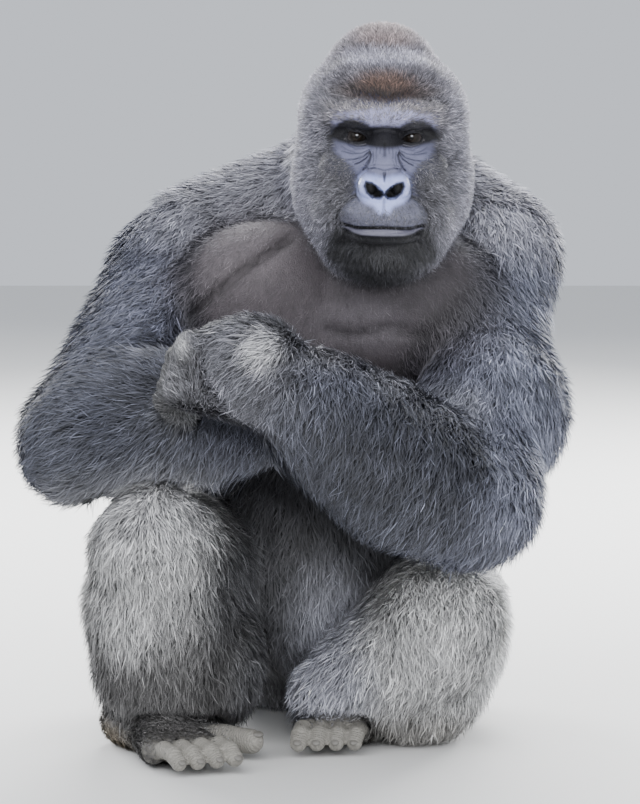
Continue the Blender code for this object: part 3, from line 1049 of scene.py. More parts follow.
    @staticmethod
    def fold(points: Array) -> Array:
        """Returns how deep the folds of the chest are at points near it."""
        return sum(groove.cut(points[:, 0], points[:, 2]) for groove in FOLDS)

    def slope(self, points: Array, step: float = 0.0007) -> tuple[Array, Array]:
        """Returns the distances and the directions away from the skin."""
        middle, ways = self.distance(points), step * np.eye(3)
        return middle, unit(np.stack([self.distance(points + way) - middle for way in ways], axis=1))

    def masses(self) -> Iterable[tuple[int, Mass]]:
        """Goes through the masses of all the regions.

        Yields:
            The place of its region in the list, and the mass.
        """
        for place, region in enumerate(self.regions):
            for mass in region.masses:
                yield place, mass


# ---------- The skin ----------
def linked(name: str, mesh: BMesh) -> Piece:
    """Makes an object of a bmesh, and frees the bmesh.

    Args:
        name: The name of the object.
        mesh: Its shape.

    Returns:
        The object.
    """
    data = bpy.data.meshes.new(name)
    mesh.to_mesh(data)
    mesh.free()
    made = bpy.data.objects.new(name, data)
    bpy.context.scene.collection.objects.link(made)
    return made


def apply_modifiers(piece: Piece) -> None:
    """Makes the piece's mesh what its modifiers show.

    Args:
        piece: The object, whose modifiers go.
    """
    graph = bpy.context.evaluated_depsgraph_get()
    graph.update()
    made = bpy.data.meshes.new_from_object(piece.evaluated_get(graph))
    old = piece.data
    piece.modifiers.clear()
    piece.data = made
    bpy.data.meshes.remove(old)


def read(items: bpy.types.bpy_prop_collection, name: str, width: int, kind: type = np.float64) -> Array:
    """Reads one property of all items of a mesh, as an array with width columns.

    Args:
        items: Vertices, edges or the like.
        name: The property's name.
        width: How many numbers each item has.
        kind: The type of the numbers.

    Returns:
        One row for each item.
    """
    values = np.empty(len(items) * width, dtype=kind)
    items.foreach_get(name, values)
    return values.reshape(-1, width) if width > 1 else values


@dataclass(frozen=True)
class Level:
    """Where the skin is made finer: in windows of the head, and nearer than a distance to limbs or toes."""

    windows: tuple[Window, ...]
    rounds: int = 2
    limbs: float = 0.0
    toes: float = 0.0


LEVELS = (
    Level((Window(0.12, -0.16, 0.14, back=-0.03), EAR_WINDOW), limbs=0.004),
    Level((Window(0.078, -0.114, 0.058, back=-0.09), EAR_WINDOW), toes=0.003),
    Level((  # eyes, nose and mouth
        Window(0.068, -0.0105, 0.0435),
        Window(0.046, -0.068, 0.0),
        Window(0.066, -0.114, -0.092),
    )),
    Level((  # lids, wrinkles, nostrils and the line of the mouth
        Window(0.058, 0.0157, 0.0353, back=-0.1, inner=0.021),
        Window(0.052, -0.015, 0.015, back=-0.1, inner=0.014),
        Window(0.031, -0.057, -0.019, back=-0.1),
        Window(0.062, -0.1025, -0.0965, back=-0.1),
    ), 3),
)


@dataclass
class Skin:
    """One closed skin over all the flesh, finer on the head, hands and feet and finest on the face."""

    flesh: Flesh
    voxel: float = 0.0118
    rounds: int = 5

    def build(self) -> Piece:
        """Makes the skin: the masses in one, then subdivided where it is fine, and laid on the flesh.

        Returns:
            The skin.
        """
        mesh = bmesh.new()
        for _, mass in self.flesh.masses():
            mass.add_to(mesh)
        piece = linked("skin", mesh)
        union = piece.modifiers.new("union", "REMESH")
        union.mode = "VOXEL"
        union.voxel_size = self.voxel
        apply_modifiers(piece)
        self.settle(piece, self.rounds)
        for level in LEVELS:
            self.refine(piece, level)
            self.settle(piece, level.rounds)
        return piece

    def dress(self, piece: Piece, cover: "Cover") -> None:
        """Colours the skin and puts it in the place of the nodes of flesh.

        Args:
            piece: The skin.
            cover: What grows on it.
        """
        piece.data.shade_smooth()
        piece.data.transform(Matrix.Translation(Vector(-ORIGIN)))
        give(piece.data, "tint", cover.skin)
        give(piece.data, "wet", cover.wet)
        give(piece.data, "ring", cover.ring)
        settle_piece(piece, SKIN, "bare_skin")
        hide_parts(*[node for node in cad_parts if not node.startswith("eye")])

    def wanted(self, points: Array, level: Level) -> Array:
        """Returns which points are where a level is finer.

        Args:
            points: Places in the body's frame.
            level: The level.

        Returns:
            One truth for each.
        """
        half = self.flesh.head.local(points)
        half[:, 0] = np.abs(half[:, 0])
        chosen = np.any([window.holds(half) for window in level.windows], axis=0)
        if level.limbs:
            for region in self.flesh.regions:
                if region.name[:4] in ("hand", "foot"):
                    chosen |= region.distance(points) < level.limbs
        if level.toes:
            for toe in self.flesh.toes():
                for bone in toe:
                    chosen |= bone.distance(points) < level.toes
        return chosen

    def refine(self, piece: Piece, level: Level) -> None:
        """Halves the edges of the faces whose middle is where the level is finer.

        Args:
            piece: The skin.
            level: The level.
        """
        chosen = self.wanted(read(piece.data.polygons, "center", 3), level)
        mesh = bmesh.new()
        mesh.from_mesh(piece.data)
        mesh.faces.ensure_lookup_table()
        edges = {edge for place in np.flatnonzero(chosen) for edge in mesh.faces[place].edges}
        bmesh.ops.subdivide_edges(mesh, edges=list(edges), cuts=1, use_grid_fill=True)
        mesh.to_mesh(piece.data)
        mesh.free()

    def settle(self, piece: Piece, rounds: int) -> None:
        """Evens the mesh out and lays it on the flesh, a few times.

        Args:
            piece: The skin.
            rounds: How many times.
        """
        data = piece.data
        places = read(data.vertices, "co", 3)
        edges = read(data.edges, "vertices", 2, np.int32)
        ends = np.concatenate([edges, edges[:, ::-1]])
        count = np.bincount(ends[:, 0], minlength=len(places))[:, None]
        for _ in range(rounds):
            middle = np.stack(
                [np.bincount(ends[:, 0], places[ends[:, 1], k], len(places)) for k in range(3)], axis=1
            )
            places = places * 0.5 + middle / count * 0.5
            away, ways = self.flesh.slope(places)
            places = places - np.clip(away, -self.voxel, self.voxel)[:, None] * ways
        places[:, 2] = np.maximum(places[:, 2], SOLE)
        data.vertices.foreach_set("co", places.ravel())
        data.update()


# ---------- Markings, and the lie of the coat ----------
class Target(Enum):
    """What a mark colours."""

    HAIR = "hair"
    SKIN = "skin"
    BOTH = "both"


@dataclass(frozen=True)
class Mark:
    """A soft patch of colour. On the head its centre is in the head's frame, and it is on both sides.

    only is the end of the names of the regions that it is kept to.
    """

    centre: Triple
    radii: Triple
    colour: Colour
    strength: float
    target: Target = Target.HAIR
    soft: float = 0.5
    only: str = ""
    on_head: bool = False

    def weight(self, body: Array, head: Array) -> Array:
        """Returns how strong the mark is at each point, given in the body's and in the head's frame.

        Args:
            body: Points in the body's frame.
            head: The same points in that of the head.

        Returns:
            One share for each.
        """
        here = np.column_stack([np.abs(head[:, 0]), head[:, 1:]]) if self.on_head else body
        size = np.linalg.norm((here - vec(*self.centre)) / vec(*self.radii), axis=1)
        return self.strength * (1.0 - smooth_step(size, 1.0 - self.soft, 1.0 + self.soft))


BODY_MARKS = (
    Mark((0.06, 0.4, 0.5), (0.3, 0.28, 0.32), (0.4, 0.4, 0.42), 0.85),  # the silver saddle
    # Belly and groin, darkened: painted shade on the belly and in the groin
    Mark((0.03, 0.02, 0.33), (0.17, 0.22, 0.16), (0.026, 0.026, 0.03), 0.93, Target.BOTH),
    Mark((0.03, -0.02, 0.2), (0.13, 0.2, 0.16), (0.058, 0.058, 0.064), 0.78),
    Mark((-0.082, -0.19, 0.2), (0.055, 0.16, 0.17), (0.065, 0.066, 0.073), 0.85),  # inside of the legs, darkened: painted shade between them
    Mark((0.06, -0.14, 0.15), (0.07, 0.12, 0.13), (0.29, 0.296, 0.34), 0.8),
    # Hems of the legs
    Mark((-0.19, -0.2, 0.07), (0.2, 0.2, 0.16), (0.05, 0.048, 0.048), 0.87, only="leg_r"),
    Mark((-0.19, -0.2, 0.03), (0.2, 0.2, 0.04), (0.045, 0.043, 0.042), 0.85, only="leg_r"),
    Mark((0.19, -0.14, 0.02), (0.22, 0.2, 0.06), (0.14, 0.132, 0.118), 0.7),
    # darker in the gap between the legs: painted shade
    Mark((-0.045, -0.12, 0.1), (0.05, 0.16, 0.09), (0.095, 0.096, 0.104), 0.7),
    Mark((0.035, -0.13, 0.1), (0.05, 0.16, 0.07), (0.32, 0.325, 0.375), 0.75),
    Mark((-0.25, -0.1, 0.02), (0.04, 0.05, 0.03), (0.23, 0.18, 0.11), 0.6, Target.BOTH),  # heel
    Mark((-0.2, -0.24, 0.4), (0.12, 0.14, 0.06), (0.42, 0.42, 0.43), 0.75),  # painted light on the tops of the knees, where the forearms' shadow falls
    # painted light on the top of the left knee, under the forearm
    Mark((0.2, -0.22, 0.28), (0.14, 0.14, 0.06), (0.62, 0.62, 0.61), 0.85, Target.BOTH, only="leg_l"),
    Mark((-0.24, -0.26, 0.22), (0.05, 0.1, 0.05), (0.48, 0.48, 0.48), 0.55),
    Mark((0.19, -0.2, 0.21), (0.09, 0.12, 0.08), (0.45, 0.45, 0.45), 0.7),
    Mark((0.3, -0.02, 0.17), (0.06, 0.16, 0.14), (0.62, 0.62, 0.62), 0.9),
    Mark((0.285, -0.1, 0.2), (0.026, 0.05, 0.036), (0.15, 0.148, 0.12), 0.7),
    Mark((-0.228, -0.3, 0.368), (0.02, 0.1, 0.01), (0.15, 0.15, 0.16), 0.5),  # whorl on the knee
    Mark((-0.15, -0.385, 0.622), (0.016, 0.05, 0.02), (0.46, 0.46, 0.47), 0.8),  # painted highlight on a knuckle
    Mark((-0.034, -0.42, 0.636), (0.026, 0.08, 0.022), (0.5, 0.5, 0.52), 0.85),  # painted highlight on the wrist
    Mark((-0.08, 0.02, 0.8), (0.14, 0.14, 0.07), (0.29, 0.29, 0.33), 0.7),  # light shoulders
    Mark((0.27, 0.02, 0.79), (0.12, 0.14, 0.07), (0.42, 0.42, 0.48), 0.7),
    Mark((0.33, -0.06, 0.54), (0.09, 0.14, 0.2), (0.17, 0.182, 0.236), 0.8),  # left upper arm
    # Right forearm
    Mark((-0.27, -0.2, 0.5), (0.13, 0.16, 0.12), (0.044, 0.047, 0.062), 0.7, only="arm_r"),
    # Left forearm
    Mark((0.16, -0.34, 0.47), (0.18, 0.14, 0.11), (0.031, 0.033, 0.043), 0.8, only="arm_l"),
    Mark((0.05, -0.36, 0.49), (0.1, 0.14, 0.07), (0.032, 0.034, 0.045), 0.7, only="arm_l"),
    # Lighter along its top edge: painted light against the dark shading of the tufts there
    Mark((0.03, -0.27, 0.62), (0.08, 0.08, 0.034), (0.24, 0.236, 0.25), 0.8, Target.BOTH, only="arm_l"),
    Mark((0.13, -0.25, 0.585), (0.08, 0.08, 0.036), (0.21, 0.212, 0.235), 0.85, Target.BOTH, only="arm_l"),
    Mark((0.22, -0.21, 0.535), (0.07, 0.08, 0.036), (0.19, 0.196, 0.23), 0.85, Target.BOTH, only="arm_l"),
    Mark((0.33, -0.18, 0.42), (0.07, 0.16, 0.1), (0.185, 0.197, 0.255), 0.8, only="arm_l"),
    # Bare shoulder
    Mark((-0.06, -0.06, 0.745), (0.07, 0.12, 0.06), (0.13, 0.115, 0.124), 0.7, Target.BOTH),
    # Under the chin: darker, a painted shadow of the head, and lighter on the chest below it, painted light
    Mark((0.14, -0.12, 0.69), (0.1, 0.14, 0.05), (0.05, 0.045, 0.051), 0.6, Target.BOTH),
    Mark((0.095, -0.16, 0.625), (0.09, 0.14, 0.04), (0.14, 0.127, 0.142), 0.7, Target.BOTH),
    # Left breast
    Mark((0.235, -0.08, 0.665), (0.075, 0.14, 0.1), (0.05, 0.045, 0.05), 0.65, Target.BOTH),
)


HEAD_MARKS = tuple(Mark(*row, on_head=True) for row in (
    ((0.0, -0.13, 0.086), (0.085, 0.09, 0.011), (0.085, 0.074, 0.07), 0.6),
    ((0.0, -0.13, 0.091), (0.054, 0.08, 0.017), (0.04, 0.022, 0.018), 0.88),  # rufous patch
    ((0.0, -0.13, 0.102), (0.034, 0.08, 0.012), (0.1, 0.056, 0.04), 0.65),
    ((0.0, -0.14, 0.0835), (0.036, 0.08, 0.0055), (0.024, 0.015, 0.012), 0.85),
    ((0.0, -0.08, 0.147), (0.078, 0.09, 0.007), (0.1, 0.086, 0.09), 0.65),
    ((0.0, -0.02, 0.165), (0.045, 0.12, 0.022), (0.22, 0.165, 0.155), 0.65),
    ((0.0, -0.1, 0.132), (0.09, 0.07, 0.01), (0.35, 0.35, 0.44), 0.6),  # rim of the pad
    ((0.0, -0.15, 0.069), (0.08, 0.08, 0.005), (0.29, 0.27, 0.265), 0.65),  # pale brow
    ((0.066, -0.11, -0.05), (0.032, 0.07, 0.055), (0.08, 0.078, 0.087), 0.72),
    ((0.0, -0.13, -0.15), (0.08, 0.09, 0.048), (0.022, 0.022, 0.025), 0.92, Target.HAIR, 0.9),  # chin
    ((0.0, -0.13, -0.15), (0.08, 0.09, 0.048), (0.014, 0.014, 0.014), 0.9, Target.SKIN, 0.9),
))


@dataclass(frozen=True)
class Patch:
    """A marking on the front of the face, by (x, z) points on its half: an outline, or a wide line."""

    outline: Profile
    colour: Colour
    strength: float
    soft: float
    wide: float = 0.0

    def weight(self, across: Array, height: Array) -> Array:
        """Returns how strong the patch is at each point of the half face.

        Args:
            across: Distances from the face's middle.
            height: Heights in the head's frame.

        Returns:
            One share for each.
        """
        ends = self.outline[1:] if self.wide else (*self.outline[1:], self.outline[0])
        steps = list(zip(self.outline, ends))
        near = off_line(np.stack([across, height], axis=1), steps)
        if self.wide:
            gap = near - self.wide
        else:
            gap = np.where(self.holds(across, height, steps), -near, near)
        return self.strength * (1.0 - smooth_step(gap, -0.5 * self.soft, 0.5 * self.soft))

    @staticmethod
    def holds(across: Array, height: Array, steps: list[tuple[Sequence[float], Sequence[float]]]) -> Array:
        """Returns which points are inside an outline: where a level line from them crosses it an odd time.

        Args:
            across: Distances from the face's middle.
            height: Heights in the head's frame.
            steps: The two ends of each side.

        Returns:
            One truth for each.
        """
        inside = np.zeros(len(across), dtype=bool)
        for first, second in steps:
            if first[1] != second[1]:
                crossed = (height > min(first[1], second[1])) & (height <= max(first[1], second[1]))
                meets = first[0] + (height - first[1]) / (second[1] - first[1]) * (second[0] - first[0])
                inside ^= crossed & (across < meets)
        return inside


MUZZLE = Patch(
    millimetres(-10, -74, 16, -70, 30, -64, 40, -56, 54, -66, 64, -83, 62, -97, -10, -98),
    (0.131, 0.134, 0.182), 0.9, 0.01,
)
PAD = Patch(
    millimetres(-10, -25, 0, -27, 12, -23.5, 26, -22.5, 36, -30, 39, -40.5, 37, -53, 28, -62, 14, -67,
                7, -77, -10, -77),
    (0.36, 0.42, 0.8), 0.88, 0.009,
)
LIP = Patch(
    millimetres(-10, -100.5, 15, -101, 38, -102.5, 57, -100.5, 50, -107, 30, -111, -10, -111.5),
    (0.136, 0.132, 0.175), 0.8, 0.003,
)
# Painted near-black: painted shade that stands for the depth of the nostril's hole
NOSTRIL = Patch(
    millimetres(0.2, -51.2, 2.6, -46.2, 9.2, -39.6, 17.5, -34, 26.6, -32.4, 28.8, -38.8, 25, -48.6,
                16.8, -55.6, 5.4, -56),
    (0.003, 0.003, 0.003), 1.0, 0.0044,
)
# Near-black skin of the sockets, darkened further by painted shade under the brow; it goes on the hair too
SOCKET = Patch(
    millimetres(-10, 44.5, 0, 44.5, 10, 44, 20, 44.5, 30, 51, 42, 54.8, 56, 53.5, 67, 46.5, 76, 34,
                78, 22.5, 66, 16.6, 56, 15, 40, 12.5, 26, 13.5, 14, 13.2, 0, 13, -10, 13),
    (0.0066, 0.0062, 0.0068), 0.97, 0.009,
)
CHIN = Patch(
    millimetres(-10, -111, 30, -111, 52, -105.5, 66, -101, 80, -150, -10, -150),
    (0.021, 0.021, 0.024), 0.92, 0.006,
)
PATCHES = (
    MUZZLE,
    SOCKET,
    Patch(millimetres(27, 17.2, 38, 14, 50, 16.8), (0.12, 0.118, 0.14), 0.6, 0.0012, 0.0006),  # lid
    Patch(millimetres(56, 22.5, 57.5, 21.5), (0.16, 0.15, 0.16), 0.5, 0.002, 0.001),  # painted wet highlight at the outer corner of the eye
    PAD,
    # darker sides of the nose pad: painted shade
    Patch(millimetres(37.5, -33, 38.5, -45, 33.5, -59), (0.2, 0.22, 0.34), 0.55, 0.009, 0.0015),
    Patch((*NOSTRIL.outline, NOSTRIL.outline[0]), (0.085, 0.085, 0.105), 0.75, 0.003, 0.0012),  # its rim, darker: painted shade round the hole
    NOSTRIL,
    CHIN,
    LIP,
    Patch(  # mouth: a near-black line, painted shade in the gap between the lips
        millimetres(-10, -98.5, 15, -99.2, 38, -100.8, 59.5, -98.5),
        (0.006, 0.005, 0.006), 0.98, 0.0018, 0.0016,
    ),
)
WET = 0.9  # how wet the nose pad is
WET_LIP = 0.5  # how wet the lip is
FURROW_SHADE = 0.82  # how dark the bottom of a furrow of the face is
FOLD_SHADE = 0.72  # how dark the bottom of a fold of the chest is


@dataclass(frozen=True)
class Whorl:
    """A place that hair runs away from on all sides."""

    centre: Triple
    reach: float
    strength: float


WHORLS = (
    Whorl((-0.15, -0.3, 0.545), 0.16, 1.8),  # right forearm, beside the hand
    Whorl((-0.225, -0.29, 0.375), 0.09, 0.8),  # right knee
)


@dataclass
class Cover:
    """What grows on the skin: its triangles, and for each vertex its region's name, coat and colours.

    grown holds the rest by name, with one row for each vertex: places, normals, flow, density, length,
    width, rise, dark and hair. They are mixed between the vertices, to give what there is at a tuft's root.
    """

    triangles: Array
    names: Array
    coats: Array
    skin: Array
    wet: Array
    ring: Array
    grown: dict[str, Array]

    def at(self, corners: Array, spot: Array) -> dict[str, Array]:
        """Returns what is grown at some spots.

        Args:
            corners: The three vertices of each spot's triangle.
            spot: The three shares of the vertices, which add up to one.

        Returns:
            The values by name, with one row for each spot.
        """
        mixed = {}
        for name, values in self.grown.items():
            if values.ndim == 1:
                mixed[name] = (values[corners] * spot).sum(axis=1)
            else:
                mixed[name] = np.einsum("ij,ijk->ik", spot, values[corners])
        return mixed


@dataclass
class Groomer:
    """Works out coat and colours all over a skin, from the masses that lie under it.

    Coats run into each other over the distance blur on head, hands and feet, and wide elsewhere. On top of a
    limb tufts are lower, shorter and lighter at the root, by the shares flat, shorter and lighter; the
    lighter roots there are painted light. bushy is how much of its coat the brow has, and under_hair and
    under_skin how light the skin below a coat is.
    """

    flesh: Flesh
    blur: float = 0.009
    wide: float = 0.018
    tilt: tuple[float, float] = (0.35, 0.8)  # from which and to which upward slope a limb's top begins
    flat: float = 0.55
    shorter: float = 0.25
    # share by which roots on top of a limb are painted lighter: painted light
    lighter: float = 0.75
    brow: tuple[float, float] = (0.036, 0.056)  # between which heights the brow's coat begins
    bushy: float = 0.85
    thin: tuple[float, float] = (0.004, 0.008)  # between which depths a coat hides the skin
    under_hair: float = 0.42
    under_skin: float = 0.25

    def cover(self, piece: Piece) -> Cover:
        """Returns what grows on the piece.

        Args:
            piece: The skin.

        Returns:
            One row for each vertex.
        """
        data = piece.data
        places = read(data.vertices, "co", 3)
        normals = read(data.vertices, "normal", 3)
        data.calc_loop_triangles()
        triangles = read(data.loop_triangles, "vertices", 3, np.int32)
        listed = list(self.flesh.masses())
        weights, owner = self.shares(places, listed)
        pelts = [mass.coat.value for _, mass in listed]

        def blend(values: Sequence) -> Array:
            """Returns the values of the masses, mixed at each vertex."""
            return weights.T @ np.array(values, float)

        head = self.flesh.head.local(places)
        across, height = np.abs(head[:, 0]), head[:, 2]
        names = np.array([self.flesh.regions[place].name for place, _ in listed])[owner]
        on_head = names == "head"
        bare = self.flesh.head.bare(head) * on_head
        thin = 1.0 - smooth_step(blend([p.depth for p in pelts]), *self.thin)
        shown = np.maximum(bare, thin * ~on_head)
        colours = blend([p.hair for p in pelts]), blend([p.skin for p in pelts])
        hair, skin = self.paint(places, head, *colours, shown, names)
        wet = PAD.weight(across, height) * WET + LIP.weight(across, height) * WET_LIP
        wet = wet * (1.0 - NOSTRIL.weight(across, height)) * on_head * (head[:, 1] < -0.1)
        brow = self.bushy * smooth_step(height, *self.brow)
        limb = np.char.startswith(names, "arm") | np.char.startswith(names, "leg")
        top = smooth_step(normals[:, 2], *self.tilt) * limb
        flow = sum(weights[row][:, None] * mass.lie.at(places) for row, (_, mass) in enumerate(listed))
        grown = {
            "places": places,
            "normals": normals,
            "flow": self.laid(places, normals, flow),
            "density": blend([p.density() for p in pelts]) * (1.0 - bare * (1.0 - brow)),
            "length": blend([p.length for p in pelts]) * (1.0 - self.shorter * top),
            "width": blend([p.width for p in pelts]),
            "rise": blend([p.rise() for p in pelts]) * (1.0 - self.flat * top),
            # roots on top of a limb painted lighter: painted light
            "dark": blend([p.dark for p in pelts]) * (1.0 - self.lighter * top),
            "hair": hair,
        }
        coats = np.array([mass.coat.name for _, mass in listed])[owner]
        return Cover(triangles, names, coats, skin, wet, self.ringed(places), grown)

    def shares(self, places: Array, listed: list[tuple[int, Mass]]) -> tuple[Array, Array]:
        """Works out which masses each vertex lies on.

        Args:
            places: The vertices.
            listed: The masses.

        Returns:
            The share of each mass at each vertex, and the mass that is nearest.
        """
        away = np.full((len(listed), len(places)), FAR)
        for row, (place, mass) in enumerate(listed):
            near = self.flesh.regions[place].near(places)
            away[row, near] = mass.distance(places[near])
        fine = [self.flesh.regions[place].name[:4] in ("head", "hand", "foot") for place, _ in listed]
        blur = np.where(fine, self.blur, self.wide)
        weights = np.exp(-(away - away.min(axis=0)) / blur[:, None])
        weights /= weights.sum(axis=0)
        return weights, away.argmin(axis=0)

    def paint(
        self, body: Array, head: Array, hair: Array, skin: Array, bare: Array, names: Array
    ) -> tuple[Array, Array]:
        """Lays the marks, the patches and the shade of the furrows on the colours of hair and skin.

        Args:
            body: The vertices in the body's frame.
            head: The vertices in the head's frame.
            hair: Colours of the hair.
            skin: Colours of the skin.
            bare: How bare each vertex is.
            names: The vertices' regions.

        Returns:
            The new colours of hair and skin.
        """
        away = self.flesh.regions[HEAD_PLACE].distance(body)
        near_eye = (head[:, 1] < -0.11) & (np.abs(head[:, 2] - 0.025) < 0.03)
        on_head = (away < np.where(near_eye, 0.03, 0.006))[:, None]
        for mark in BODY_MARKS + HEAD_MARKS:
            weight = mark.weight(body, head)[:, None] * (on_head if mark.on_head else ~on_head)
            weight = weight * np.char.endswith(names, mark.only)[:, None] if mark.only else weight
            if mark.target in (Target.HAIR, Target.BOTH):
                hair = mixed_in(hair, mark.colour, weight)
            if mark.target in (Target.SKIN, Target.BOTH):
                skin = mixed_in(skin, mark.colour, weight)
        across, front = np.abs(head[:, 0]), on_head[:, 0] * smooth_step(-head[:, 1], 0.08, 0.1)
        under = np.maximum(hair * self.under_hair, skin * self.under_skin)
        skin = under * (1.0 - bare[:, None]) + skin * bare[:, None]
        for patch in PATCHES:
            weight = (patch.weight(across, head[:, 2]) * front)[:, None]
            skin = mixed_in(skin, patch.colour, weight)
            # the sockets' near-black with its painted shade, and the chin's dark colour, go on the hair too
            if patch in (SOCKET, CHIN):
                hair = mixed_in(hair, patch.colour, weight)
        furrow = self.flesh.head.furrow(across, head[:, 2]) * front
        chest = self.flesh.chest(body) & ~on_head[:, 0]
        shade = np.ones(len(body))
        shade[chest] -= FOLD_SHADE * np.clip(self.flesh.fold(body[chest]) / 0.008, 0.0, 1.0)
        hair, skin = hair * shade[:, None], skin * shade[:, None]
        return hair, skin * (1.0 - FURROW_SHADE * np.clip(furrow / 0.002, 0.0, 1.0))[:, None]

    def ringed(self, places: Array, apart: float = 0.0042, within: float = 0.0035) -> Array:
        """Returns the phase of the rings of wrinkles round the toes at each point, and zero elsewhere.

        Args:
            places: The points.
            apart: The distance from ring to ring.
            within: How far off a toe its rings reach.

        Returns:
            One angle for each.
        """
        phase = np.zeros(len(places))
        near = np.full(len(places), within)
        for toe in self.flesh.toes():
            begun = 0.0
            for bone in toe:
                away = bone.distance(places)
                here = begun + (places - bone.start) @ unit(bone.end - bone.start)
                chosen = (away < near) & (here > 0.0)
                phase[chosen] = here[chosen] / apart * math.tau
                near = np.where(chosen, away, near)
                begun += float(np.linalg.norm(bone.end - bone.start))
        return phase

    def laid(self, places: Array, normals: Array, flow: Array) -> Array:
        """Adds the whorls to the flow, and lays it flat on the skin.

        Args:
            places: The vertices.
            normals: Their normals.
            flow: The way the hair would lie.

        Returns:
            The way it lies.
        """
        for whorl in WHORLS:
            out = places - vec(*whorl.centre)
            size = np.linalg.norm(out, axis=1)[:, None]
            flow = flow + whorl.strength * np.exp(-((size / whorl.reach) ** 2)) * unit(out)
        return unit(flow - normals * dot(flow, normals)[:, None])


# ---------- Tufts ----------
Choice = Callable[[Array, Array, Array], Array]
Tufts = tuple[Array, Array]


@dataclass(frozen=True)
class Unwrap:
    """A map of a rounded part of the skin, seen from centre, with pole in its middle.

    Where length is more than zero the part is a limb along pole, and the map runs round and along it.
    """

    centre: Triple
    pole: Triple
    length: float = 0.0

    def at(self, points: Array) -> Array:
        """Returns the place of each point on the map, from 0 to 1 both ways.

        Args:
            points: Roots of tufts.

        Returns:
            One row of u and v for each.
        """
        pole = unit(vec(*self.pole))
        side = unit(np.cross(pole, vec(0.31, 0.17, 0.93)))
        other = np.cross(pole, side)
        out = points - vec(*self.centre)
        if self.length:
            turn = np.arctan2(out @ side, out @ other) / math.tau + 0.5
            return np.clip(np.stack([turn, out @ pole / self.length + 0.5], axis=1), 0.0, 1.0)
        way = unit(out)
        spread = np.sqrt(np.maximum(1.0 - way @ pole, 0.0) / 2.0)
        flat = unit(np.stack([way @ side, way @ other], axis=1) + 1e-9)
        return 0.5 + 0.5 * flat * spread[:, None]


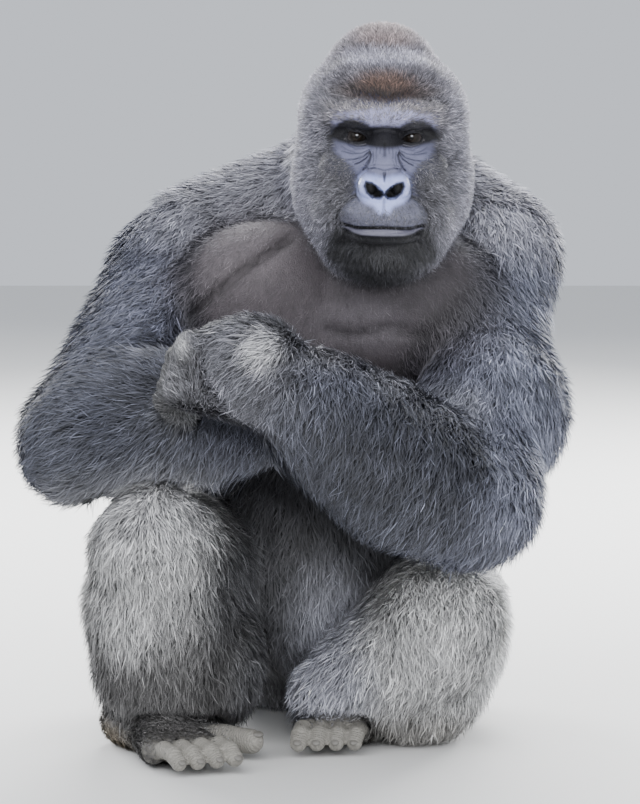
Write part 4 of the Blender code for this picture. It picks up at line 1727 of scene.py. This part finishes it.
@dataclass
class CoatPiece:
    """The tufts of one part of the body, as one mesh.

    chosen says which triangles it grows on, from the names of the regions, the kinds of coat and the middles
    of the triangles. segments is how many lengths a tuft has, the last of which is its point. Tufts lean in
    clumps of the size clump: by lean for the whole clump, by splay for each tuft and by pull to its middle.
    pale is how much lighter a tip is, vary how much one tuft's tone differs, and patchy how much a clump's.
    """

    name: str
    chosen: Choice
    unwrap: Unwrap
    slot: str = "dark_coat"
    segments: int = 2
    lengths: tuple[float, float] = (0.7, 1.25)  # least and most, as shares
    widths: tuple[float, float] = (0.65, 1.25)
    clump: float = 0.014
    lean: float = 0.28
    splay: float = 0.34
    pull: float = 0.45
    curl: float = 0.16
    pale: float = 0.45
    vary: float = 0.46
    patchy: float = 0.22
    most: int = 198_000
    reach: float = 0.045  # how far off other flesh still lowers a tuft
    sole: float = 0.0008  # how near to the floor a tuft may come
    breadths: tuple[float, ...] = (0.8, 1.0, 0.7)  # of a tuft's lengths, as shares of its width
    lit: float = 0.6  # how much the skin's and the tuft's own direction each say in its shading
    print_size: float = 0.003  # size of one tuft on the map

    def build(self, cover: Cover, flesh: Flesh, seed: int) -> Piece:
        """Grows the tufts.

        Args:
            cover: What grows on the skin.
            flesh: The flesh.
            seed: Of the random draws.

        Returns:
            The tufts as one object.
        """
        rng = np.random.default_rng(seed)
        corners = self.ground(cover)
        sides = cover.grown["places"][corners]
        area = 0.5 * np.linalg.norm(np.cross(sides[:, 1] - sides[:, 0], sides[:, 2] - sides[:, 0]), axis=1)
        chance = np.cumsum(area * cover.grown["density"][corners].mean(axis=1))
        faces = 2 * self.segments - 1
        count = min(int(chance[-1]), self.most // faces)
        pick = np.searchsorted(chance, rng.random(count) * chance[-1])
        spot = rng.random((count, 2))
        spot = np.where(spot.sum(axis=1, keepdims=True) > 1.0, 1.0 - spot, spot)
        spot = np.column_stack([1.0 - spot.sum(axis=1), spot])
        roots = cover.at(corners[pick], spot)
        roots["normals"], roots["flow"] = unit(roots["normals"]), unit(roots["flow"])
        tufts = self.bladed(self.curved(roots, flesh, rng), roots, rng)
        tint = self.tinted(roots, rng)
        return self.meshed(tufts, roots["normals"], tint, self.unwrap.at(roots["places"]))

    def ground(self, cover: Cover) -> Array:
        """Returns the triangles that the piece grows on, by the numbers of their corners."""
        first, middle = cover.triangles[:, 0], cover.grown["places"][cover.triangles].mean(axis=1)
        return cover.triangles[self.chosen(cover.names[first], cover.coats[first], middle)]

    def clumps(self, roots: Array, rng: np.random.Generator) -> Array:
        """Returns the number of the clump that each root belongs to."""
        cells = np.floor(roots / self.clump + 0.35 * rng.standard_normal(roots.shape)).astype(np.int64)
        return np.unique(cells @ np.array([1, 4099, 16785407]), return_inverse=True)[1]

    def curved(self, grown: dict[str, Array], flesh: Flesh, rng: np.random.Generator) -> Tufts:
        """Bends the tufts over the flesh, lower and shorter where other flesh is near.

        Args:
            grown: What there is at each root.
            flesh: The flesh.
            rng: Random draws.

        Returns:
            Places along each tuft, as (tuft, place, axis), and the widths.
        """
        roots, normals, flow = grown["places"], grown["normals"], grown["flow"]
        count = len(roots)
        length = grown["length"] * rng.uniform(*self.lengths, count)
        rise = grown["rise"] * np.clip(rng.normal(0.8, 0.2, count), 0.25, 1.15)
        width = grown["width"] * rng.uniform(*self.widths, count)
        room = np.clip(flesh.distance(roots + normals * self.reach) / self.reach, 0.0, 1.0)
        length, rise = length * (0.45 + 0.55 * room), rise * (0.3 + 0.7 * room)
        clump = self.clumps(roots, rng)
        size = np.bincount(clump)[:, None]
        hub = np.stack([np.bincount(clump, roots[:, k]) for k in range(3)], axis=1) / size
        lean = rng.standard_normal((len(size), 3)) * self.lean
        way = flow + lean[clump] * 0.6 + rng.standard_normal((count, 3)) * self.splay * 0.5
        way = unit(way - normals * dot(way, normals)[:, None])
        curl = rng.standard_normal((count, 3)) * self.curl
        pull = (hub[clump] - roots) * self.pull
        hold = np.clip(rng.normal(0.88, 0.16, count), 0.4, 1.0)
        lines = []
        for step in range(self.segments + 1):
            share = step / self.segments
            height = rise * (1.0 - (1.0 - share) ** 1.7)
            line = roots + (way * share + curl * share**2) * length[:, None] + pull * share**1.5
            line = line + normals * height[:, None]
            if step:
                away, ways = flesh.slope(line)
                line = line + ways * (np.clip(height - away, -0.04, 0.03) * hold)[:, None]
            lines.append(line)
        lines = np.stack(lines, axis=1)
        lines[:, :, 2] = np.maximum(lines[:, :, 2], self.sole)
        return lines, width

    def bladed(self, tufts: Tufts, grown: dict[str, Array], rng: np.random.Generator) -> Array:
        """Gives the tufts their breadth, and a little roll each.

        Args:
            tufts: Places along each, and widths.
            grown: What there is at each root.
            rng: Random draws.

        Returns:
            Vertices, as (tuft, vertex, axis).
        """
        lines, width = tufts
        normals = grown["normals"]
        along = unit(lines[:, 1:] - lines[:, :-1])
        roll = rng.uniform(-0.6, 0.6, len(lines))
        out = []
        for step in range(self.segments):
            side = unit(np.cross(along[:, step], normals))
            side = side * np.cos(roll)[:, None] + np.cross(along[:, step], side) * np.sin(roll)[:, None]
            breadth = width * self.breadths[step] * 0.5
            out += [lines[:, step] - side * breadth[:, None], lines[:, step] + side * breadth[:, None]]
        out.append(lines[:, -1])
        return np.stack(out, axis=1)

    def tinted(self, grown: dict[str, Array], rng: np.random.Generator) -> Array:
        """Returns the colour of each vertex: dark at the root, and a little different on each tuft.

        Args:
            grown: What there is at each root.
            rng: Random draws.

        Returns:
            Colours, as (tuft, vertex, channel).
        """
        clump = self.clumps(grown["places"], rng)
        tone = np.exp(rng.normal(0.0, self.patchy, clump.max() + 1))[clump]
        tone = tone * np.exp(rng.normal(-0.05, self.vary, len(clump)))
        shares = np.array([k // 2 for k in range(2 * self.segments)] + [self.segments]) / self.segments
        ramp = 1.0 - grown["dark"][:, None] * (1.0 - shares[None]) ** 1.3 + self.pale * shares[None] ** 2
        return np.clip(grown["hair"][:, None] * (tone[:, None] * ramp)[:, :, None], 0.0, 1.0)

    def meshed(self, places: Array, normals: Array, tint: Array, map_place: Array) -> Piece:
        """Joins the tufts into one mesh with its colours and its map. Its shading follows the skin's.

        Args:
            places: Vertices, as (tuft, vertex, axis).
            normals: The skin's normals at the roots.
            tint: Colours of the vertices.
            map_place: The roots' places on the map.

        Returns:
            The tufts as one object.
        """
        count, wide, _ = places.shape
        quads = [(2 * k, 2 * k + 1, 2 * k + 3, 2 * k + 2) for k in range(self.segments - 1)]
        tip = (wide - 3, wide - 2, wide - 1)
        pattern = np.array([*sum(quads, ()), *tip])
        sizes = np.array([4] * len(quads) + [3])
        loops = (np.arange(count)[:, None] * wide + pattern).ravel()
        starts = np.concatenate([[0], np.cumsum(sizes)[:-1]])
        data = bpy.data.meshes.new(self.name)
        data.vertices.add(count * wide)
        data.vertices.foreach_set("co", (places - ORIGIN).astype(np.float32).ravel())
        data.loops.add(len(loops))
        data.loops.foreach_set("vertex_index", loops.astype(np.int32))
        data.polygons.add(count * len(sizes))
        first = (np.arange(count)[:, None] * len(pattern) + starts).ravel()
        data.polygons.foreach_set("loop_start", first.astype(np.int32))
        data.polygons.foreach_set("use_smooth", np.ones(count * len(sizes), dtype=bool))
        layer = data.uv_layers.new(name="OFBake")
        patch = np.stack([np.arange(wide) % 2, np.arange(wide) // 2 / self.segments], axis=1)
        patch[-1] = (0.5, 1.0)
        spots = 0.003 + 0.991 * map_place[:, None] + self.print_size * patch[pattern][None]
        layer.uv.foreach_set("vector", spots.astype(np.float32).ravel())
        give(data, "tint", tint.reshape(-1, 3))
        flat = np.cross(places[:, 1] - places[:, 0], places[:, -1] - places[:, 0])
        shading = unit(normals * self.lit + unit(flat) * self.lit)
        soft = data.attributes.new("custom_normal", "FLOAT_VECTOR", "POINT")
        soft.data.foreach_set("vector", np.repeat(shading, wide, axis=0).astype(np.float32).ravel())
        data.update()
        piece = bpy.data.objects.new(self.name, data)
        bpy.context.scene.collection.objects.link(piece)
        return piece


def on(
    *regions: str,
    coats: tuple[str, ...] = (),
    above: float = -math.inf,
    below: float = math.inf,
    behind: float = -math.inf,
    ahead: float = math.inf,
) -> Choice:
    """Returns a choice of triangles by region, kind of coat, and place in height and depth.

    Args:
        regions: Names of the regions.
        coats: Names of the kinds of coat, or none for all.
        above: Least height.
        below: Most height.
        behind: Least y.
        ahead: Most y.

    Returns:
        What says which triangles are chosen.
    """

    def chosen(names: Array, kinds: Array, middle: Array) -> Array:
        """Picks the triangles that the piece grows on.

        Args:
            names: The region of each triangle.
            kinds: Its kind of coat.
            middle: Its middle, as rows of x, y and z.

        Returns:
            Whether the piece grows on each of them.
        """
        right = np.isin(names, regions) & (middle[:, 2] > above) & (middle[:, 2] <= below)
        right &= (middle[:, 1] > behind) & (middle[:, 1] <= ahead)
        return right & np.isin(kinds, coats) if coats else right

    return chosen


HEAD_COATS = ("CROWN", "FOREHEAD", "CHEEK", "CHIN", "BROW", "FACE", "EAR")
FORE_COATS = ("FOREARM", "HAND", "FINGER")
EARS = 0.925  # height that parts the crown from the cheeks
WAIST = 0.52  # height that parts the upper back from the lower one
SIDES = 0.08  # depth that parts the back from the front
COAT_PIECES = (
    CoatPiece("coat_crown", on("head", coats=HEAD_COATS, above=EARS),
              Unwrap((0.13, -0.03, 0.92), (0, -0.5, 0.8)), "head_coat", vary=0.5),
    CoatPiece("coat_cheeks", on("head", coats=HEAD_COATS, below=EARS),
              Unwrap((0.13, -0.03, 0.87), (0, -0.8, -0.3)), "head_coat", vary=0.5),
    CoatPiece("coat_neck", on("head", coats=("NAPE",)), Unwrap((0.12, 0.06, 0.82), (0, 0.7, 0.7))),
    CoatPiece("coat_upper_back", on("trunk", above=WAIST, behind=SIDES),
              Unwrap((0.07, 0.17, 0.65), (0, 1, 0.3))),
    CoatPiece("coat_lower_back", on("trunk", below=WAIST, behind=SIDES),
              Unwrap((0.05, 0.17, 0.3), (0, 1, -0.1))),
    CoatPiece("coat_front", on("trunk", ahead=SIDES), Unwrap((0.05, 0.1, 0.55), (0, -1, 0)),
              vary=0.26, pale=0.2),
    CoatPiece("coat_upper_arm_r", on("arm_r", coats=("UPPER_ARM",)),
              Unwrap((-0.225, -0.04, 0.594), (-0.13, -0.26, -0.22), 0.6)),
    CoatPiece("coat_forearm_r", on("arm_r", "hand_r", coats=FORE_COATS),
              Unwrap((-0.13, -0.17, 0.485), (1, 0, 0), 0.62), patchy=0.3),
    CoatPiece("coat_upper_arm_l", on("arm_l", coats=("UPPER_ARM",)),
              Unwrap((0.276, -0.09, 0.548), (-0.03, -0.295, -0.303), 0.66)),
    CoatPiece("coat_forearm_l", on("arm_l", "hand_l", coats=FORE_COATS),
              Unwrap((0.08, -0.29, 0.505), (-0.304, -0.115, 0.199), 0.72), patchy=0.34, clump=0.016),
    CoatPiece("coat_leg_r", on("leg_r", "foot_r"), Unwrap((-0.16, -0.06, 0.2), (-0.3, -0.8, 0.3)),
              "grey_coat"),
    CoatPiece("coat_leg_l", on("leg_l", "foot_l"), Unwrap((0.17, -0.01, 0.15), (0.3, -0.8, 0.2)),
              "grey_coat"),
)


# ---------- Eyes and nails ----------
@dataclass
class Eyeball:
    """One eye. side is -1 for the right one, and look is the way it looks.

    The iris and the pupil are the distances of their rims, bulge is the height of the cornea, and spark is
    how high over the pupil's middle the pale glint is.
    """

    name: str
    side: float
    head: Head
    look: Triple = (-0.0145, -1.0, 0.07)
    iris: float = 0.0074
    pupil: float = 0.0029
    bulge: float = 0.0009
    spark: float = 0.0028

    def build(self, seed: int) -> Piece:
        """Makes the ball with its cornea, and colours it from the pupil out.

        Args:
            seed: Of the random draws.

        Returns:
            The eye.
        """
        head = self.head
        middle = head.placed(np.array([head.eye * vec(self.side, 1.0, 1.0)]))[0] - ORIGIN
        mesh = bmesh.new()
        bmesh.ops.create_uvsphere(mesh, u_segments=64, v_segments=72, radius=head.eye_radius)
        for vert in mesh.verts:
            share = math.hypot(vert.co.x, vert.co.y) / (self.iris * 1.1)
            if vert.co.z > 0.0 and share < 1.0:
                vert.co.z += self.bulge * (1.0 - share * share) ** 2
        here = np.array([vert.co[:] for vert in mesh.verts])
        turn = Vector(self.look).to_track_quat("Z", "Y")
        place = Matrix.LocRotScale(Vector(middle), turn, None)
        bmesh.ops.transform(mesh, matrix=place, verts=mesh.verts)
        piece = linked(self.name, mesh)
        piece.data.shade_smooth()
        give(piece.data, "tint", self.tinted(here, seed))
        return piece

    def tinted(self, here: Array, seed: int) -> Array:
        """Returns the colour of each vertex, given from the middle of the ball with the pupil at +Z.

        Args:
            here: The vertices.
            seed: Of the random draws.

        Returns:
            One colour for each.
        """
        rng = np.random.default_rng(seed)
        turn = np.arctan2(here[:, 1], here[:, 0])
        out = np.hypot(here[:, 0], here[:, 1]) + np.where(here[:, 2] < 0.0, 0.02, 0.0)
        fibre = sum(np.sin(turn * k + rng.uniform(0.0, math.tau)) for k in (11, 17, 23, 29)) / 4.0
        share = (out / self.iris)[:, None]
        iris = mixed_in(vec(0.014, 0.008, 0.005), (0.007, 0.005, 0.004), share)
        iris = iris * (1.0 + 0.4 * fibre[:, None])
        # the sclera lighter away from the iris: painted wet highlight towards the corners
        white = smooth_step(out, self.iris * 1.05, self.iris * 1.6)[:, None]
        outer = mixed_in(vec(0.006, 0.005, 0.004), (0.022, 0.018, 0.018), white)
        rim = smooth_step(out, self.iris * 0.93, self.iris * 1.04)[:, None]
        hole = smooth_step(out, self.pupil * 0.92, self.pupil * 1.1)[:, None]
        glint = np.hypot(here[:, 0] / 1.5, here[:, 1] - self.spark)
        spark = (1.0 - smooth_step(glint, 0.0008, 0.0016))[:, None] * (here[:, 2] > 0.0)[:, None]
        return mixed_in((iris * (1.0 - rim) + outer * rim) * hole + 0.0015, (0.42, 0.43, 0.46), spark)

    def dress(self, piece: Piece, finish: "Finish") -> None:
        """Gives the eye its finish and puts it in the solid's place."""
        settle_piece(piece, finish, "eye")
        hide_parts("eye_r" if self.side < 0.0 else "eye_l")


@dataclass
class Nails:
    """The nails of fingers and toes, in one mesh. Sizes are shares of the radius of the digit's tip."""

    flesh: Flesh
    half: Triple = (0.56, 0.58, 0.3)
    ahead: float = 0.5
    rise: float = 0.62

    def build(self) -> Piece:
        """Makes a rounded plate on the back of each digit's tip.

        Returns:
            All the nails as one piece.
        """
        mesh = bmesh.new()
        for limb in (*self.flesh.hands, *self.flesh.feet):
            for digit in limb.digits():
                tip, way, radius = digit.tip()
                radius -= 0.001 if isinstance(limb, Foot) else 0.003
                across = unit(np.cross(way, digit.back))
                up = np.cross(across, way)
                middle = tip + radius * (self.ahead * way + self.rise * up) - ORIGIN
                axes = np.stack([across, way, up], axis=1) * (np.array(self.half) * radius)
                place = Matrix.Translation(Vector(middle)) @ Matrix(axes.tolist()).to_4x4()
                part = bmesh.new()
                bmesh.ops.create_uvsphere(part, u_segments=20, v_segments=12, radius=1.0, matrix=place)
                pour(part, mesh)
        piece = linked("nails", mesh)
        piece.data.shade_smooth()
        return piece


# ---------- Finishes ----------
def give(data: bpy.types.Mesh, name: str, values: Array) -> None:
    """Stores a colour, or a number, at each vertex of a mesh.

    Args:
        data: The mesh.
        name: Name of the attribute.
        values: One row or number for each vertex.
    """
    wide = values.ndim == 2
    layer = data.attributes.new(name, "FLOAT_COLOR" if wide else "FLOAT", "POINT")
    if wide:
        values = np.column_stack([values, np.ones(len(values))])
    layer.data.foreach_set("color" if wide else "value", values.astype(np.float32).ravel())


def settle_piece(piece: Piece, finish: "Finish", slot: str) -> None:
    """Dresses a piece, makes it ride on the body and reports it.

    Args:
        piece: The object.
        finish: Its finish.
        slot: Its slot; not used.
    """
    piece.data.materials.append(finish.material())
    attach(piece, BODY)
    sizes = read(piece.data.polygons, "loop_total", 1, np.int32)
    LOG.info("%s: %d triangles", piece.name, int((sizes - 2).sum()))


def sum_of(tree: bpy.types.NodeTree, operation: str, *terms: Socket | float) -> Socket:
    """Adds a Math node to a tree, with its inputs set or linked.

    Args:
        tree: The tree that takes the node.
        operation: The name of what the node works out.
        terms: For each input a number, or the socket that feeds it.

    Returns:
        The node's result.
    """
    node = tree.nodes.new("ShaderNodeMath")
    node.operation = operation
    for socket, term in zip(node.inputs, terms):
        if isinstance(term, float):
            socket.default_value = term
        else:
            tree.links.new(term, socket)
    return node.outputs["Value"]


def wrinkles(tree: bpy.types.NodeTree, ring: Socket, noise: Socket) -> Socket:
    """Adds nodes for rings of wrinkles, uneven by the noise, and returns their height from -0.42 to 0.42."""
    wave = sum_of(tree, "SINE", sum_of(tree, "MULTIPLY_ADD", noise, 26.0, ring))
    return sum_of(tree, "MULTIPLY", wave, sum_of(tree, "MINIMUM", ring, 0.42))


def grain_group() -> bpy.types.NodeTree:
    """Builds the group for the grain of skin, horn and hair, the first time that it is asked for.

    Its inputs are a colour, how much that varies, how many grains there are to a metre, and the phase of
    wrinkles. It puts out the varied colour and the height of the grain.

    Returns:
        The group.
    """
    name = "grain"
    if name in bpy.data.node_groups:
        return bpy.data.node_groups[name]
    group = bpy.data.node_groups.new(name, "ShaderNodeTree")
    for label, way, kind in (
        ("Colour", "INPUT", "NodeSocketColor"),
        ("Mottle", "INPUT", "NodeSocketFloat"),
        ("Grains", "INPUT", "NodeSocketFloat"),
        ("Ring", "INPUT", "NodeSocketFloat"),
        ("Colour", "OUTPUT", "NodeSocketColor"),
        ("Height", "OUTPUT", "NodeSocketFloat"),
    ):
        group.interface.new_socket(label, in_out=way, socket_type=kind)
    nodes, links = group.nodes, group.links
    given, out = nodes.new("NodeGroupInput"), nodes.new("NodeGroupOutput")
    where = nodes.new("ShaderNodeTexCoord").outputs["Object"]
    cells = nodes.new("ShaderNodeTexVoronoi")
    cloud = nodes.new("ShaderNodeTexNoise")
    patches = nodes.new("ShaderNodeTexNoise")
    cells.feature = "SMOOTH_F1"
    cloud.inputs["Detail"].default_value = 4.0
    patches.inputs["Scale"].default_value = 55.0
    patches.inputs["Detail"].default_value = 5.0
    for node in (cells, cloud, patches):
        links.new(where, node.inputs["Vector"])
    for node in (cells, cloud):
        links.new(given.outputs["Grains"], node.inputs["Scale"])
    grain = sum_of(group, "ADD", cells.outputs["Distance"], cloud.outputs["Fac"])
    wrinkle = wrinkles(group, given.outputs["Ring"], patches.outputs["Fac"])
    links.new(sum_of(group, "ADD", grain, wrinkle), out.inputs["Height"])
    uneven = sum_of(group, "SUBTRACT", patches.outputs["Fac"], 0.5)
    shade = sum_of(group, "MULTIPLY_ADD", wrinkle, 0.2, 1.0)
    scale = nodes.new("ShaderNodeVectorMath")
    scale.operation = "SCALE"
    links.new(given.outputs["Colour"], scale.inputs["Vector"])
    links.new(
        sum_of(group, "MULTIPLY_ADD", uneven, given.outputs["Mottle"], shade), scale.inputs["Scale"]
    )
    links.new(scale.outputs["Vector"], out.inputs["Colour"])
    return group


@dataclass(frozen=True)
class Finish:
    """A finish whose colour is on the mesh, or the same all over where colour is given.

    mottle is how much the colour varies, and relief the height of the grain in metres. Where soaked is set,
    the roughness falls to it as the mesh's wetness rises to one, and rings of wrinkles are drawn.
    """

    name: str
    roughness: float
    mottle: float
    grains: float = 500.0
    relief: float = 0.0
    colour: Colour | None = None
    soaked: float | None = None
    shine: float = 0.5
    film: float = 0.22  # roughness of the wetness itself

    def material(self) -> bpy.types.Material:
        """Builds the material, the first time that it is asked for.

        Returns:
            The material.
        """
        if self.name in bpy.data.materials:
            return bpy.data.materials[self.name]
        made = bpy.data.materials.new(self.name)
        made.use_nodes = True
        nodes, links = made.node_tree.nodes, made.node_tree.links
        shader = nodes["Principled BSDF"]
        shader.inputs["Roughness"].default_value = self.roughness
        shader.inputs["Specular IOR Level"].default_value = self.shine
        grain = nodes.new("ShaderNodeGroup")
        grain.node_tree = grain_group()
        grain.inputs["Mottle"].default_value = self.mottle
        grain.inputs["Grains"].default_value = self.grains
        if self.colour is None:
            links.new(self.attribute(nodes, "tint").outputs["Color"], grain.inputs["Colour"])
        else:
            grain.inputs["Colour"].default_value = (*self.colour, 1.0)
        links.new(grain.outputs["Colour"], shader.inputs["Base Color"])
        if self.relief:
            bump = nodes.new("ShaderNodeBump")
            bump.inputs["Distance"].default_value = self.relief
            links.new(grain.outputs["Height"], bump.inputs["Height"])
            links.new(bump.outputs["Normal"], shader.inputs["Normal"])
        if self.soaked is not None:
            links.new(self.attribute(nodes, "ring").outputs["Fac"], grain.inputs["Ring"])
            wet = self.attribute(nodes, "wet")
            fall = nodes.new("ShaderNodeMapRange")
            fall.inputs["To Min"].default_value = self.roughness
            fall.inputs["To Max"].default_value = self.soaked
            links.new(wet.outputs["Fac"], fall.inputs["Value"])
            links.new(fall.outputs["Result"], shader.inputs["Roughness"])
            links.new(wet.outputs["Fac"], shader.inputs["Coat Weight"])
            shader.inputs["Coat Roughness"].default_value = self.film
        return made

    @staticmethod
    def attribute(nodes: bpy.types.Nodes, name: str) -> bpy.types.Node:
        """Returns a new node that reads one of the mesh's attributes.

        Args:
            nodes: The material's nodes.
            name: The attribute's name.

        Returns:
            The node.
        """
        node = nodes.new("ShaderNodeAttribute")
        node.attribute_name = name
        return node


SKIN = Finish("skin", 0.58, 0.35, 520.0, 0.001, soaked=0.3, shine=0.25)
HAIR = Finish("coat_hair", 0.62, 0.3)
EYE = Finish("eyeball", 0.06, 0.0, shine=0.12)
NAIL = Finish("nail_horn", 0.42, 0.5, 300.0, 0.0004, (0.15, 0.143, 0.13))
FLOOR = Finish("studio_floor", 0.75, 0.02, 40.0, 0.0, (0.7, 0.7, 0.69))


# ---------- Studio ----------
@dataclass(frozen=True)
class Lamp:
    """A soft square light that faces the middle of the animal. size is in metres and power in watts."""

    name: str
    place: Triple
    size: float
    power: float


@dataclass
class Studio:
    """Floor, lights and camera."""

    target: Triple = (0.0346, 0.0096, 0.503)
    tilt: float = math.radians(8.0)
    away: float = 6.5
    tall: float = 1.206  # height of what the picture takes in, at the target
    sensor: float = 36.0
    sky: Colour = (0.78, 0.82, 0.9)
    daylight: float = 0.95
    floor: float = 6.0  # half the width of the floor
    lit: Triple = (0.0, 0.0, 0.6)  # what the lamps face
    lamps: tuple[Lamp, ...] = (
        Lamp("key", (-1.6, -2.4, 3.2), 4.4, 150.0),
        Lamp("rim", (0.4, 2.4, 2.8), 2.4, 230.0),
        Lamp("rim_r", (-2.0, 2.8, 1.5), 1.2, 150.0),
        Lamp("rim_l", (2.1, 2.8, 1.5), 1.2, 170.0),
        Lamp("fill", (2.6, -2.4, 1.8), 3.4, 70.0),
        Lamp("front", (0.1, -4.6, 2.1), 0.3, 32.0),
        Lamp("low", (0.2, -4.4, 0.9), 3.0, 30.0),
    )

    def build(self) -> None:
        """Puts up the camera, the sky, the lights and the floor."""
        camera = bpy.data.cameras.new("camera")
        camera.lens = self.sensor * self.away / self.tall
        view = self.hung("camera", camera)
        back = Vector((0.0, -math.cos(self.tilt), math.sin(self.tilt)))
        view.location = Vector(self.target) + self.away * back
        view.rotation_euler = (math.pi / 2 - self.tilt, 0.0, 0.0)
        bpy.context.scene.camera = view
        sky = bpy.data.worlds.new("sky")
        sky.use_nodes = True
        shine = sky.node_tree.nodes["Background"]
        shine.inputs["Color"].default_value = (*self.sky, 1.0)
        shine.inputs["Strength"].default_value = self.daylight
        bpy.context.scene.world = sky
        for lamp in self.lamps:
            data = bpy.data.lights.new(lamp.name, "AREA")
            data.energy, data.size = lamp.power, lamp.size
            made = self.hung(lamp.name, data)
            made.location = lamp.place
            made.rotation_euler = (Vector(self.lit) - made.location).to_track_quat("-Z", "Y").to_euler()
        mesh = bmesh.new()
        bmesh.ops.create_grid(mesh, x_segments=1, y_segments=1, size=self.floor)
        floor = linked("floor", mesh)
        floor.data.materials.append(FLOOR.material())

    @staticmethod
    def hung(name: str, data: bpy.types.ID) -> Piece:
        """Returns a new object for a camera or a light.

        Args:
            name: The name.
            data: The camera or light.

        Returns:
            The object.
        """
        made = bpy.data.objects.new(name, data)
        bpy.context.scene.collection.objects.link(made)
        return made


def main() -> None:
    """Builds the studio and the gorilla."""
    Studio().build()
    flesh = Flesh()
    skin = Skin(flesh)
    piece = skin.build()
    cover = Groomer(flesh).cover(piece)
    skin.dress(piece, cover)
    for place, coat in enumerate(COAT_PIECES):
        made = coat.build(cover, flesh, SEED + place)
        settle_piece(made, HAIR, coat.slot)
    for side, name in ((-1.0, "eyeball_r"), (1.0, "eyeball_l")):
        eye = Eyeball(name, side, flesh.head)
        eye.dress(eye.build(SEED), EYE)
    settle_piece(Nails(flesh).build(), NAIL, "bare_skin")
    bpy.context.view_layer.update()


if __name__ == "__main__":
    logging.basicConfig(level=logging.INFO, format="%(message)s")
    main()
